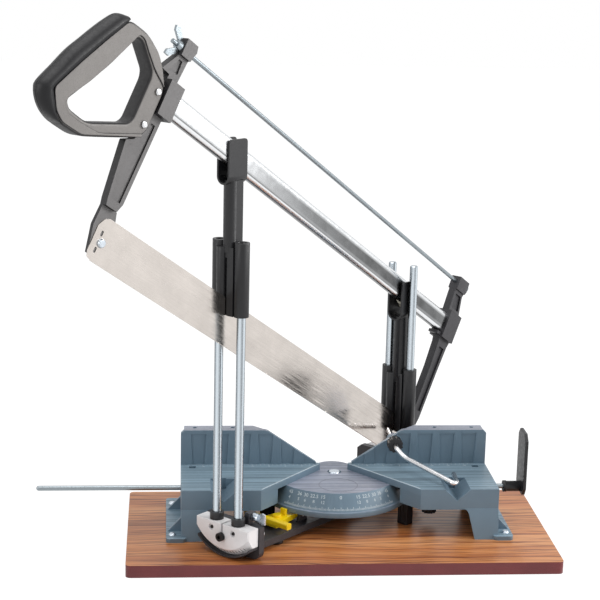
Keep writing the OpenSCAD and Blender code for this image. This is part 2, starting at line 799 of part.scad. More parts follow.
module rear_guide() {
  color([0.13, 0.13, 0.14])
  at_arm()
  difference() {
    translate([rear_s, 0, rear_house_z]) guide(fork_in);
    translate([shoe_s, 0, shoe_z]) bar_y(-fork_in - 2.3, fork_in + 2.3, 2.5 + run_gap);
  }
}

module front_guide() {
  color([0.13, 0.13, 0.14])
  at_arm() translate([front_s, 0, front_house_z]) guide(bar_r + move_gap);
}

module bar_shoe() {
  color([0.85, 0.83, 0.78])
  at_saw()
  difference() {
    union() {
      along_x(shoe_u - 13, shoe_u + 5) {
        translate([0, -bar_h / 2 + bar_r]) circle(r = fork_in - 0.4);
        translate([-fork_in + 0.4, -bar_h / 2 + bar_r]) square([2 * fork_in - 0.8, 4]);
      }
      translate([shoe_u, 0, -bar_h / 2]) bar_y(-fork_in - 2, fork_in + 2, 2.5);
    }
    along_x(shoe_u - 30, shoe_u + 30) bar_section(0.4);
    along_x(shoe_u - 30, shoe_u + 30)
      translate([-bar_r - 0.4, 0]) square([bar_t + 0.8, 20]);
  }
}

// Flat oval section of the bar, grown by g
module bar_section(g) {
  translate([0, bar_h / 2 - bar_r]) circle(r = bar_r + g);
  translate([0, -bar_h / 2 + bar_r]) circle(r = bar_r + g);
  translate([-bar_r - g, -bar_h / 2 + bar_r]) square([bar_t + 2 * g, bar_h - bar_t]);
}

module saw_bar() {
  color([0.8, 0.81, 0.82])
  at_saw()
  difference() {
    along_x(bar_end_near, bar_end_far) bar_section(0);
    along_x(bar_end_near - 1, bar_end_far + 1) bar_section(-1.6);
  }
}

module near_arm() {
  color([0.42, 0.42, 0.43])
  at_saw()
  difference() {
    union() {
      along_y(-4.5, 4.5)
        polygon([[-360, 67], [-343, 67], [-341, 60], [-345, 46], [-347, 19], [-340, 18],
          [-340, -18], [-346, -22],
          [-348, -118], [-352, -128], [-369, -128], [-371, -121], [-380, -62], [-380, -60], [-371, -55],
          [-362, -43], [-362, 24], [-374, 25], [-360, 48]]);
      along_y(-8, 8)
        polygon([[-360, 67], [-343, 67], [-341, 60], [-345, 48], [-360, 48]]);
      slab(-361.9, -340, -12, 12, -20, 19);
      along_y(-tongue_y, tongue_y)
        polygon([[-385, -46], [-361, -46], [-361, 16], [-385, 16]]);
      along_y(blade_t / 2 + 0.05, 4.5)
        polygon([[-369, -127], [-347, -127], [-342, -140], [-342, -178], [-362, -178], [-370, -150]]);
    }
    for (k = [-1, 1])
      along_y(k > 0 ? 2.5 : -5.5, k > 0 ? 5.5 : -2.5) {
        polygon([[-357, -30], [-351, -30], [-353, -119], [-367, -119], [-375, -63], [-366, -57]]);
        polygon([[-357, 44], [-352, 44], [-351, 29], [-364, 28]]);
      }
    along_x(bar_end_near, -330) bar_section(seat_gap);
    translate([0, 0, tension_v]) bar_x(-380, -330, tension_r + 0.1);
    translate([near_bolt_u, 0, bolt_v]) bar_y(-8, 8, 3 + seat_gap);
    for (v = [-1, -38])
      translate([-371, 0, v]) bar_y(-8, 8, 2.5 + seat_gap);
  }
}

module far_arm() {
  color([0.24, 0.23, 0.25])
  at_saw()
  difference() {
    union() {
      along_y(-5, 5)
        polygon([[247, 61], [270, 61], [271, 52], [268, 43], [276, 20], [281, 8], [281, -6], [276, -26],
          [275, -60], [275, -125], [273, web_lo], [258, web_lo], [257, -60], [254, -26], [252, -20],
          [250, -19],
          [250, 18], [248, 40]]);
      along_y(-7, 7)
        polygon([[247, 64], [270, 64], [271, 52], [269, 47], [247.6, 47]]);
      slab(250, 277, -10, 10, -19, 18);
      slab(241, 251, -7, 7, -18, -14.2);
      along_y(blade_t / 2 + 0.05, 4.6)
        polygon([[259, -130], [272, -130], [274, -138], [274, -163], [270, -167], [257, -167],
          [257, -138]]);
    }
    for (k = [-1, 1])
      along_y(k > 0 ? 2.8 : -6, k > 0 ? 6 : -2.8) {
        polygon([[260, -30], [271, -30], [271, -118], [261, -118]]);
        polygon([[253, 23], [271, 23], [265, 42], [252.6, 42]]);
      }
    along_x(220, bar_end_far) bar_section(seat_gap);
    translate([0, 0, tension_v]) bar_x(240, 290, tension_r + 0.1);
    translate([far_bolt_u, 0, bolt_v]) bar_y(-8, 8, 3 + seat_gap);
  }
}

module blade() {
  color([0.87, 0.86, 0.84])
  at_saw()
  difference() {
    along_y(-blade_t / 2, blade_t / 2)
      polygon([[blade_end_near, blade_lo + 8], [blade_end_near + 2.5, blade_lo + 2.5],
        [blade_end_near + 8, blade_lo],
        [blade_end_far - 12, blade_lo], [blade_end_far, blade_lo + 12], [blade_end_far, blade_hi - 4],
        [blade_end_far - 4, blade_hi], [blade_end_near + 12, blade_hi],
        [blade_end_near + 5, blade_hi - 3.5],
        [blade_end_near, blade_hi - 12]]);
    translate([near_bolt_u, 0, bolt_v]) bar_y(-2, 2, 3 + seat_gap);
    translate([far_bolt_u, 0, bolt_v]) bar_y(-2, 2, 3 + seat_gap);
    for (v = [bolt_v - 9, bolt_v + 9])
      translate([near_bolt_u - 4, 0, v])
        along_y(-2, 2) round_rect(-1.6, 1.6, -3, 3, 1.5);
  }
}

module blade_bolts() {
  color([0.75, 0.76, 0.78])
  at_saw()
  for (u = [near_bolt_u, far_bolt_u])
    translate([u, 0, bolt_v]) {
      bar_y(-blade_t / 2 - 1, 8, 3);
      translate([0, -blade_t / 2, 0]) rotate([90, 0, 0]) cylinder(r1 = 5.2, r2 = 4, h = 3);
      bar_y(4.6, 8, 5);
    }
}

module tension_rod() {
  color([0.75, 0.77, 0.78])
  at_saw()
  translate([0, 0, tension_v]) {
    bar_x(nut_u - 12, 271.2, tension_r);
    bar_x(271, 275, tension_r + 2.5);
  }
}

module wing_nut() {
  color([0.78, 0.79, 0.8])
  at_saw()
  translate([nut_u, 0, tension_v])
  difference() {
    union() {
      translate([-5.4, 0, 0]) rotate([0, 90, 0]) cylinder(r1 = 4.2, r2 = 6, h = 5.4);
      for (k = [-1, 1])
        along_y(-1.5, 1.5)
          polygon([[-0.8, k * 4], [-4.8, k * 4], [-14.8, k * 11], [-15.8, k * 16], [-9.8, k * 16.5],
            [-1.8, k * 9]]);
    }
    bar_x(-30, 10, tension_r + run_gap);
  }
}

// Outline of the handle sides
module handle_outline() {
  difference() {
    polygon([[-442, 41.2], [-412, 42], [-388, 33], [-377, 23], [-362.5, 4], [-362.5, -42],
      [-371, -53.5],
      [-420, -78], [-441, -88], [-470, -89], [-483, -82], [-497, -63], [-479, -26], [-461, 9]]);
    finger_hole();
  }
}

module finger_hole() {
  polygon([[-424, 31], [-416, 31], [-390, 13], [-387, 6], [-387, -40], [-391, -47], [-440, -72],
    [-466, -71],
    [-473, -65], [-456, -36], [-441, -9]]);
}

// Half of the handle with a stepped, eased edge
module handle_half() {
  difference() {
    union() {
      along_y(0, hand_y - 2) handle_outline();
      along_y(hand_y - 2.01, hand_y) offset(delta = -1.8) handle_outline();
      along_y(hand_y - 2.01, hand_y + 2.5)
        polygon([[-446, 32], [-440, 22], [-462, -22], [-478, -58], [-488, -58], [-478, -30],
          [-462, 4]]);
    }
    along_y(-1, tongue_y + 0.02)
      polygon([[-385.1, -46.1], [-361, -46.1], [-361, 16.1], [-385.1, 16.1]]);
    for (v = [-1, -38])
      translate([-371, 0, v]) bar_y(-1, 20, 2.5 + seat_gap);
  }
}

module handle_right() {
  color([0.47, 0.46, 0.45])
  at_saw() mirror([0, 1, 0]) handle_half();
}

module handle_left() {
  color([0.47, 0.46, 0.45])
  at_saw() handle_half();
}

// Soft grip on the back of the handle, full in the middle and drawn in towards the sides
module handle_grip() {
  color([0.09, 0.09, 0.1])
  at_saw() {
    along_y(-5, 5)
      polygon([[-453, 41], [-447, 44], [-442, 41.2], [-461, 9], [-479, -26], [-497, -63],
        [-483, -82], [-470, -89],
        [-489, -90], [-501, -84], [-511, -72], [-509, -61], [-486, -9], [-468, 21]]);
    along_y(-hand_y + 1.2, hand_y - 1.2)
      polygon([[-450.5, 39], [-446.6, 41.8], [-442, 41.2], [-461, 9], [-479, -26], [-497, -63],
        [-483, -82],
        [-470, -89], [-487, -88], [-498.5, -82], [-508, -71.5], [-506, -61], [-483.2, -9.6],
        [-465.4, 20]]);
    for (k = [-1, 1])
      along_y(k > 0 ? hand_y - 1.21 : -hand_y - 1.4, k > 0 ? hand_y + 1.4 : -hand_y + 1.21)
        polygon([[-449, 36.5], [-446.6, 38], [-464, 8.5], [-482, -26], [-500, -63.5], [-486, -82.5],
          [-489, -84],
          [-497, -79], [-503.5, -70], [-502, -61], [-480, -10], [-463, 18.6]]);
  }
}

module handle_rivets() {
  color([0.85, 0.85, 0.86])
  at_saw()
  for (v = [-1, -38])
    translate([-371, 0, v]) {
      bar_y(-hand_y - 1, hand_y + 1, 2.5);
      translate([0, -hand_y, 0]) rotate([90, 0, 0]) cylinder(r1 = 4, r2 = 2.8, h = 1.4);
      translate([0, hand_y, 0]) rotate([-90, 0, 0]) cylinder(r1 = 4, r2 = 2.8, h = 1.4);
    }
}

base_board();
left_table();
right_table();
left_fence();
right_fence();
scale_disc();
swing_stops();
foot_screws();
pivot_bolt();
stop_screw();
stop_rod();
stop_hub();
stop_flag();
clamp_knob();
clamp_rod();
swing_arm();
arm_feet();
front_plate();
rear_plate();
plate_screws();
index_lever();
lever_pin();
bevel_screw();
front_quadrant();
rear_quadrant();
front_rods();
rear_rods();
rod_collars();
bevel_bolts();
quadrant_screws();
rear_guide();
front_guide();
bar_shoe();
saw_bar();
near_arm();
far_arm();
blade();
blade_bolts();
tension_rod();
wing_nut();
handle_right();
handle_left();
handle_grip();
handle_rivets();
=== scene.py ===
import math
import bmesh
import bpy
from mathutils import Matrix, Vector


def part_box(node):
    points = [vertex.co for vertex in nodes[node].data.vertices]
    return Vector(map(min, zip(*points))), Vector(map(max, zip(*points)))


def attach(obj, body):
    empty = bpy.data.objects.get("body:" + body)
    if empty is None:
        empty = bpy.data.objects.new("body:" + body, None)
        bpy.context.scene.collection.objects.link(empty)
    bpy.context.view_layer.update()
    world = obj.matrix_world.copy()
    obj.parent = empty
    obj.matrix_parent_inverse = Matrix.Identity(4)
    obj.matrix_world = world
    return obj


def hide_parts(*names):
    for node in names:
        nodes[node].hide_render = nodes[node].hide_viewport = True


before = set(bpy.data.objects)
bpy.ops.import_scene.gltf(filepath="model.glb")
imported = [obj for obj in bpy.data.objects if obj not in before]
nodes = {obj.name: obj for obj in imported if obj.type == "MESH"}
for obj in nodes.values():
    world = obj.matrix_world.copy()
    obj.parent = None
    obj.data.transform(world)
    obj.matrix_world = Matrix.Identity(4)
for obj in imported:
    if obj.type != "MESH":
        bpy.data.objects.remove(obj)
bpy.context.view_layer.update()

# Sizes and places, in metres and in the frame of the solids
MM = 0.001


def mm(*values):
    """Lengths written in millimetres, as metres."""
    return tuple(v * MM for v in values)


def mm_points(*points):
    return [mm(*point) for point in points]


BOARD_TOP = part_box("base_board")[1].z
TABLE_TOP = BOARD_TOP + 59.6 * MM
DISC_TOP = TABLE_TOP - 7.3 * MM
DISC_R, RIM_DROP, RIM_OUT, RIM_LIP = mm(90, 20, 10, 2)
DISC_FLAT_R = DISC_R - RIM_OUT - RIM_LIP
FENCE_Y = 7.5 * MM
MITRE = math.radians(45)
TILT = math.radians(32.5)
SAW_Z = TABLE_TOP + 278.9 * MM
BAR_NEAR, BAR_FAR = mm(-356, 262)

# Frame of the mitre arm: x from the user to the rear, y to the left
AT_ARM = Matrix.Rotation(math.pi / 2 - MITRE, 4, "Z")
# Frame of the saw: x along the bar towards the tip, z across it
AT_SAW = AT_ARM @ Matrix.Translation((0, 0, SAW_Z)) @ Matrix.Rotation(TILT, 4, "Y")
# The same for outlines drawn in x and y: y goes across the bar
ON_SAW = AT_SAW @ Matrix.Rotation(math.pi / 2, 4, "X")


# Materials

def rgb(r, g, b):
    """Colour given as it looks on a screen."""
    def linear(c):
        c /= 255
        return c / 12.92 if c <= 0.04045 else ((c + 0.055) / 1.055) ** 2.4
    return (linear(r), linear(g), linear(b), 1.0)


def shade_of(colour, factor):
    return tuple(min(1.0, c * factor) for c in colour[:3]) + (1.0,)


class Surface:
    """A material with a Principled shader, and short calls for the nodes that feed it."""

    MIX_FACTOR, MIX_FIRST, MIX_SECOND, MIX_RESULT = 0, 6, 7, 2

    def __init__(self, name, rough=0.5, metal=0.0):
        self.mat = bpy.data.materials.new(name)
        self.mat.use_nodes = True
        self.tree = self.mat.node_tree
        self.shader = self.tree.nodes["Principled BSDF"]
        self.shader.inputs["Roughness"].default_value = rough
        self.shader.inputs["Metallic"].default_value = metal
        self.coords = self.tree.nodes.new("ShaderNodeTexCoord")

    def put(self, socket, value):
        """Link the output of a node to a socket, or set the socket to a plain value."""
        if isinstance(value, bpy.types.NodeSocket):
            self.tree.links.new(value, socket)
        else:
            socket.default_value = value

    def node(self, kind, **inputs):
        made = self.tree.nodes.new(kind)
        for key, value in inputs.items():
            self.put(made.inputs[key.replace("_", " ")], value)
        return made

    def place(self, stretch=(1, 1, 1), turn=(0, 0, 0)):
        """Object coordinates in metres, turned and stretched."""
        turned = self.node("ShaderNodeMapping", Vector=self.coords.outputs["Object"], Rotation=turn)
        turned.vector_type = "TEXTURE"
        made = self.node("ShaderNodeMapping", Vector=turned.outputs["Vector"], Scale=stretch)
        return made.outputs["Vector"]

    def noise(self, scale, detail=4.0, where=None, rough=0.5):
        made = self.node("ShaderNodeTexNoise", Scale=scale, Detail=detail, Roughness=rough)
        self.tree.links.new(where or self.coords.outputs["Object"], made.inputs["Vector"])
        return made.outputs["Fac"]

    def ramp(self, source, *stops):
        """Colour ramp: each stop is a place from 0 to 1 and a colour."""
        made = self.node("ShaderNodeValToRGB", Fac=source)
        elements = made.color_ramp.elements
        while len(elements) < len(stops):
            elements.new(0.5)
        for element, (place, colour) in zip(elements, stops):
            element.position = place
            element.color = colour
        return made.outputs["Color"]

    def bands(self, source, colour, *levels):
        """Shades of one colour: each level is a place from 0 to 1 and a brightness."""
        return self.ramp(source, *[(place, shade_of(colour, level)) for place, level in levels])

    def drift(self, colour, low, high, scale, detail=3):
        """Colour that drifts slowly between two shades."""
        return self.bands(self.noise(scale, detail), colour, (0.3, low), (0.7, high))

    def range(self, source, low, high, start=0.3, end=0.7):
        made = self.node("ShaderNodeMapRange", Value=source, From_Min=start, From_Max=end, To_Min=low,
                         To_Max=high)
        return made.outputs["Result"]

    def mix(self, factor, first, second):
        made = self.tree.nodes.new("ShaderNodeMix")
        made.data_type = "RGBA"
        self.put(made.inputs[self.MIX_FACTOR], factor)
        self.put(made.inputs[self.MIX_FIRST], first)
        self.put(made.inputs[self.MIX_SECOND], second)
        return made.outputs[self.MIX_RESULT]

    def specks(self, tone, colour, scale, share, start, end):
        """Tone with fine specks of a colour over it."""
        return self.mix(self.range(self.noise(scale, 2), 0.0, share, start, end), tone, colour)

    def maths(self, operation, first, second=0.0):
        made = self.tree.nodes.new("ShaderNodeMath")
        made.operation = operation
        self.put(made.inputs[0], first)
        self.put(made.inputs[1], second)
        return made.outputs[0]

    def vector_maths(self, operation, first, second):
        made = self.tree.nodes.new("ShaderNodeVectorMath")
        made.operation = operation
        self.put(made.inputs[0], first)
        self.put(made.inputs[1], second)
        return made.outputs["Value" if operation == "DOT_PRODUCT" else "Vector"]

    def facing_along(self, axis):
        """How far the surface looks along an axis of the object, from -1 to 1."""
        return self.vector_maths("DOT_PRODUCT", self.coords.outputs["Normal"], axis)

    def up_facing(self, low=0.85, high=0.95):
        """1 where the surface looks up, 0 elsewhere."""
        normal = self.node("ShaderNodeNewGeometry").outputs["Normal"]
        parts = self.node("ShaderNodeSeparateXYZ", Vector=normal)
        return self.range(parts.outputs["Z"], 0.0, 1.0, low, high)

    def feed(self, socket, source):
        self.tree.links.new(source, self.shader.inputs[socket])

    def bump(self, height, strength, distance, after=None):
        made = self.node("ShaderNodeBump", Height=height, Strength=strength, Distance=distance)
        if after is not None:
            self.tree.links.new(after, made.inputs["Normal"])
        self.feed("Normal", made.outputs["Normal"])
        return made.outputs["Normal"]


def cast_paint(name, colour, rough=0.45, grain=0.25, wear=0.35):
    """Sprayed paint on a casting: fine orange peel, slow drift of tone, paler rubbed edges."""
    s = Surface(name, rough)
    base = s.drift(colour, 0.9, 1.08, 18)
    base = s.specks(base, shade_of(colour, 1.35), 2600, 0.3, 0.45, 0.75)
    edge = s.node("ShaderNodeNewGeometry").outputs["Pointiness"]
    base = s.mix(s.range(edge, 0.0, wear, 0.52, 0.6), base, shade_of(colour, 1.6))
    s.feed("Base Color", base)
    s.feed("Roughness", s.range(s.noise(160, 3), rough - 0.08, rough + 0.1))
    s.bump(s.noise(1500, 3), grain, 0.25 * MM)
    return s.mat


def moulded(name, colour, rough=0.42, grain=0.2, size=1800, sheen=0.5):
    """Moulded plastic or rubber with a fine spark texture."""
    s = Surface(name, rough)
    s.shader.inputs["Specular IOR Level"].default_value = sheen
    s.feed("Base Color", s.drift(colour, 0.85, 1.15, 25))
    s.feed("Roughness", s.range(s.noise(300, 3), rough - 0.07, rough + 0.1))
    s.bump(s.noise(size, 3), grain, 0.15 * MM)
    return s.mat


def metal(name, colour, rough=0.25, stretch=(1, 1, 1), turn=(0, 0, 0), brush=0.12, spots=0.0):
    """Bare or plated metal, drawn or brushed along the axis that stretch shortens."""
    s = Surface(name, rough, 1.0)
    lines = s.noise(900, 3, s.place(stretch, turn))
    tone = s.drift(colour, 0.9, 1.05, 40, 4)
    tone = s.mix(s.range(lines, 0.0, 0.35), tone, shade_of(colour, 0.8))
    if spots:
        tone = s.specks(tone, shade_of(colour, 1.25), 700, spots, 0.5, 0.72)
    s.feed("Base Color", tone)
    s.feed("Roughness", s.range(lines, rough - 0.06, rough + 0.12))
    s.bump(lines, brush, 0.03 * MM)
    return s.mat


def bar_metal(name, colour):
    """Drawn aluminium with painted reflections: the flat sides painted darker grey towards the far end, and
    painted bright and dark lines on the rounds.
    """
    s = Surface(name, 0.22, 1.0)
    axis = AT_SAW.to_3x3() @ Vector((1, 0, 0))
    across = AT_SAW.to_3x3() @ Vector((0, 0, 1))
    up = s.range(s.facing_along(across), 0.0, 1.0, -1.0, 1.0)
    # Painted reflection: bright and dark lines on the rounds, set by which way each faces across the bar
    painted_round_reflections = s.bands(up, colour, (0.0, 0.25), (0.08, 0.3), (0.14, 0.95), (0.34, 1.0), (0.38, 0.3),
                     (0.46, 0.25), (0.5, 0.8), (0.6, 0.95), (0.9, 1.0), (0.98, 0.35))
    along = s.vector_maths("DOT_PRODUCT", s.coords.outputs["Object"], axis)
    start = axis.dot(AT_SAW.translation)
    share = s.range(along, 0.0, 1.0, start + BAR_NEAR, start + BAR_FAR)
    # Painted reflection: the flat sides darker towards the far end of the bar
    painted_flat_reflections = s.bands(share, colour, (0.2, 1.0), (0.32, 0.5), (0.46, 0.24), (0.62, 0.14), (0.85, 0.11),
                    (1.0, 0.16))
    on_flat = s.range(s.maths("ABSOLUTE", s.range(up, -0.5, 0.5)), 1.0, 0.0, 0.05, 0.09)
    tone = s.mix(on_flat, painted_round_reflections, painted_flat_reflections)
    tone = s.mix(s.range(s.noise(60, 3), 0.0, 0.12), tone, shade_of(colour, 0.75))
    s.feed("Base Color", tone)
    s.feed("Roughness", s.range(s.noise(140, 3), 0.18, 0.3))
    return s.mat


def rod_metal(name, colour):
    """Zinc-plated round rod with painted reflections: light and dark streaks along it, set by which way the
    surface faces.
    """
    s = Surface(name, 0.22, 1.0)
    across = s.range(s.facing_along((1, 0, 0)), 0.0, 1.0, -1.0, 1.0)
    # Painted reflection: light and dark streaks round the rod
    tone = s.bands(across, colour, (0.0, 0.3), (0.12, 0.45), (0.25, 1.0), (0.42, 0.98), (0.55, 0.55),
                   (0.68, 0.45), (0.78, 1.0), (0.9, 0.9), (0.97, 0.35))
    s.feed("Base Color", s.specks(tone, shade_of(colour, 1.15), 700, 0.3, 0.5, 0.72))
    s.feed("Roughness", s.range(s.noise(300, 3), 0.16, 0.3))
    return s.mat


def two_tone(name, side, edge, rough=0.5, grain=0.5):
    """Grained surface with painted light and shade: pale and speckled on the faces across the saw, which
    face the light, and painted dark shade on all others.
    """
    s = Surface(name, rough)
    facing = s.maths("ABSOLUTE", s.facing_along((-math.sin(MITRE), math.cos(MITRE), 0)))
    pale = s.specks(s.drift(side, 0.93, 1.06, 20), shade_of(side, 0.62), 1100, 0.5, 0.5, 0.7)
    painted_shade_tone = s.drift(edge, 0.85, 1.15, 25)
    # Painted light on the faces across the saw, painted shade on all the others
    s.feed("Base Color", s.mix(s.range(facing, 0.0, 1.0, 0.8, 0.95), painted_shade_tone, pale))
    s.feed("Roughness", s.range(s.noise(300, 3), rough - 0.07, rough + 0.1))
    s.bump(s.noise(1000, 3), grain, 0.2 * MM)
    return s.mat


def table_paint(name, colour, top):
    """Casting paint with pale edges, partly rubbed paint and partly painted highlight, and the machined top
    in its own tone with fine lines along X.
    """
    s = Surface(name, 0.45)
    lines = s.noise(420, 2, s.place((0.012, 1, 1)))
    flat = s.bands(lines, top, (0.36, 0.66), (0.5, 1.0), (0.64, 1.34))
    up = s.up_facing()
    base = s.mix(up, s.drift(colour, 0.92, 1.06, 18), flat)
    # Pale edges, partly rubbed paint and partly painted highlight, where the bevelled normal turns away from
    # the plain one
    eased = s.node("ShaderNodeBevel", Radius=0.7 * MM)
    eased.samples = 4
    plain = s.node("ShaderNodeNewGeometry").outputs["Normal"]
    likeness = s.vector_maths("DOT_PRODUCT", eased.outputs["Normal"], plain)
    s.feed("Base Color", s.mix(s.range(likeness, 0.55, 0.0, 0.8, 0.98), base, shade_of(colour, 2.0)))
    s.feed("Roughness", s.range(s.noise(160, 3), 0.36, 0.52))
    peel = s.bump(s.noise(1500, 3), 0.2, 0.2 * MM)
    s.bump(s.maths("MULTIPLY", lines, up), 0.5, 0.2 * MM, peel)
    return s.mat


def wood_board(name):
    """Wood-print laminate on top with streaks along X, and a plain dark red edge band."""
    s = Surface(name, 0.42)
    wander = s.maths("MULTIPLY", s.noise(5, 2, s.place((0.8, 1, 1))), 0.05)
    shift = s.node("ShaderNodeCombineXYZ", Y=wander)
    bent = s.vector_maths("ADD", s.coords.outputs["Object"], shift.outputs[0])
    along = s.node("ShaderNodeMapping", Vector=bent, Scale=(0.026, 1, 1)).outputs["Vector"]
    tone = s.ramp(s.noise(46, 3, along), (0.3, rgb(170, 96, 48)), (0.5, rgb(203, 130, 74)),
                  (0.7, rgb(218, 152, 98)))
    veins = s.range(s.noise(230, 4, along, 0.6), 0.0, 0.9, 0.5, 0.64)
    tone = s.mix(veins, tone, rgb(138, 74, 36))
    pores = s.noise(520, 2, along)
    tone = s.mix(s.range(pores, 0.0, 0.85, 0.54, 0.66), tone, rgb(92, 46, 22))
    band = s.ramp(s.noise(30, 3), (0.3, rgb(102, 34, 36)), (0.7, rgb(116, 43, 45)))
    band = s.specks(band, rgb(146, 74, 74), 1400, 0.5, 0.5, 0.75)
    s.feed("Base Color", s.mix(s.up_facing(0.5, 0.6), band, tone))
    s.feed("Roughness", s.range(pores, 0.28, 0.42))
    s.bump(pores, 0.12, 0.05 * MM)
    return s.mat


ALONG_SAW = (0, TILT, math.pi / 2 - MITRE)
BLUE = rgb(104, 126, 142)
mats = {
    # Tables, fences and disc: pale edges, partly rubbed paint and partly painted highlight
    "blue": table_paint("blue_paint", BLUE, rgb(122, 144, 158)),
    "fence": table_paint("blue_paint_fence", BLUE, rgb(150, 155, 168)),
    "disc": table_paint("blue_paint_disc", BLUE, rgb(136, 142, 158)),
    "black": moulded("black_plastic", rgb(22, 22, 25), 0.42, sheen=0.45),
    "rubber": moulded("black_rubber", rgb(17, 17, 20), 0.42, 0.25, 900, 0.35),
    "dark": cast_paint("dark_paint", rgb(42, 41, 45), 0.46, 0.3),
    # Near arm: painted light on its faces across the saw, painted shade on the rest
    "grey": two_tone("grey_paint_painted_light", rgb(112, 110, 110), rgb(34, 33, 35)),
    "yellow": moulded("yellow_plastic", rgb(246, 208, 6), 0.35, 0.1),
    "cast": cast_paint("silver_casting", rgb(232, 229, 230), 0.36, 0.3, 0.2),
    "zinc": metal("zinc_plate", rgb(200, 208, 216), 0.26, (1, 1, 0.04), spots=0.3),
    # Guide rods: painted reflections as streaks
    "rod": rod_metal("zinc_rod_painted_reflections", rgb(204, 213, 220)),
    "bright": metal("bright_steel", rgb(215, 216, 218), 0.2),
    "black_steel": metal("black_oxide", rgb(58, 57, 58), 0.4),
    "blade": metal("blade_steel", rgb(204, 197, 191), 0.16, (0.03, 1, 1), ALONG_SAW, 0.02),
    "zinc_dark": metal("zinc_nut", rgb(150, 158, 163), 0.3),
    # Saw bar: painted reflections on its flats and rounds
    "bar": bar_metal("aluminium_painted_reflections", rgb(236, 238, 240)),
    # Handle: painted light on its faces across the saw, painted shade on the rest
    "handle": two_tone("grey_plastic_painted_light", rgb(132, 128, 125), rgb(30, 29, 31)),
    "nylon": moulded("natural_nylon", rgb(210, 205, 190), 0.5),
    "wood": wood_board("board"),
    "print": moulded("scale_print", rgb(206, 216, 222), 0.5, 0.1),
    "line": moulded("ring_line", rgb(112, 114, 124), 0.5, 0.1),
    # Pale strips along the vee: partly rubbed paint, partly painted highlight
    "pale": cast_paint("rubbed_edge_and_highlight", rgb(196, 208, 216), 0.35, 0.2),
}

# CAD nodes of each finish
FINISH = {
    "wood": ("base_board",),
    "blue": ("left_table", "right_table"),
    "fence": ("left_fence", "right_fence"),
    "disc": ("scale_disc",),
    "black": ("swing_stops", "stop_screw", "stop_hub", "stop_flag", "clamp_knob", "rod_collars",
              "rear_guide", "front_guide"),
    "zinc": ("foot_screws", "pivot_bolt", "plate_screws", "lever_pin", "bevel_screw", "blade_bolts"),
    "zinc_dark": ("stop_rod", "tension_rod", "wing_nut"),
    "bright": ("clamp_rod", "handle_rivets"),
    "dark": ("swing_arm", "front_plate", "rear_plate", "far_arm"),
    "rubber": ("arm_feet", "handle_grip"),
    "yellow": ("index_lever",),
    "cast": ("front_quadrant", "rear_quadrant"),
    "rod": ("front_rods", "rear_rods"),
    "black_steel": ("bevel_bolts", "quadrant_screws"),
    "nylon": ("bar_shoe",),
    "bar": ("saw_bar",),
    "grey": ("near_arm",),
    "blade": ("blade",),
    "handle": ("handle_right", "handle_left"),
}
# CAD nodes by the width of their eased edges
EASED = {
    1.4 * MM: ("left_table", "right_table"),
    1.2 * MM: ("base_board",),
    1.0 * MM: ("left_fence", "right_fence", "swing_arm", "rear_quadrant"),
    0.9 * MM: ("rear_guide", "front_guide", "near_arm", "far_arm"),
    0.8 * MM: ("scale_disc", "stop_flag", "arm_feet", "index_lever"),
    0.6 * MM: ("swing_stops", "pivot_bolt", "stop_hub", "clamp_knob", "rod_collars", "wing_nut",
               "stop_screw"),
    0.5 * MM: ("bevel_screw",),
    0.4 * MM: ("blade_bolts", "handle_rivets"),
    0.3 * MM: ("foot_screws",),
}
EASE_ANGLE = math.radians(34)
FLAT_ANGLE = math.radians(0.6)
WELD_REACH = 0.002 * MM


def finish(obj, *keys):
    obj.data.materials.clear()
    for key in keys:
        obj.data.materials.append(mats[key])


def ease(obj, width):
    """Rounds an object's outside edges for show: coplanar facets joined first, then a bevel."""
    weld = obj.modifiers.new("weld", "WELD")
    weld.merge_threshold = WELD_REACH
    flat = obj.modifiers.new("flat", "DECIMATE")
    flat.decimate_type = "DISSOLVE"
    flat.angle_limit = FLAT_ANGLE
    bevel = obj.modifiers.new("bevel", "BEVEL")
    bevel.width = width
    bevel.segments = 2
    bevel.limit_method = "ANGLE"
    bevel.angle_limit = EASE_ANGLE
    bevel.miter_outer = "MITER_ARC"
    bevel.harden_normals = True
    bevel.use_clamp_overlap = True


for key, names in FINISH.items():
    for name in names:
        finish(nodes[name], key)
for width, names in EASED.items():
    for name in names:
        ease(nodes[name], width)


# Building pieces

def add(name, mesh, body, *keys, smooth=True):
    obj = bpy.data.objects.new(name, mesh)
    bpy.context.scene.collection.objects.link(obj)
    finish(obj, *keys)
    for face in mesh.polygons:
        face.use_smooth = smooth
    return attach(obj, body)


def split_edges(obj, degrees):
    """Keeps edges sharper than an angle crisp on a smooth piece."""
    sharp = obj.modifiers.new("sharp", "EDGE_SPLIT")
    sharp.split_angle = math.radians(degrees)


def mesh_of(source):
    """Mesh of a curve or text object, which is then removed."""
    bpy.context.scene.collection.objects.link(source)
    bpy.context.view_layer.update()
    ready = source.evaluated_get(bpy.context.evaluated_depsgraph_get())
    mesh = bpy.data.meshes.new_from_object(ready)
    bpy.data.objects.remove(source)
    return mesh


def solid_mesh(name, verts, faces):
    """Mesh from points and faces, with all its faces looking outwards."""
    mesh = bpy.data.meshes.new(name)
    mesh.from_pydata(verts, [], faces)
    mesh.validate()
    made = bmesh.new()
    made.from_mesh(mesh)
    bmesh.ops.recalc_face_normals(made, faces=made.faces)
    made.to_mesh(mesh)
    made.free()
    return mesh


def rounded_corner(before, corner, after, radius, most, steps):
    """Points round a corner, which is cut back by a radius or by a share of its shorter side."""
    p = Vector(corner)
    a = Vector(before) - p
    b = Vector(after) - p
    cut = min(radius, a.length * most, b.length * most)
    start = p + a.normalized() * cut
    end = p + b.normalized() * cut
    return [tuple(start * (1 - f) ** 2 + p * (2 * f * (1 - f)) + end * f * f)
            for f in (k / steps for k in range(steps + 1))]


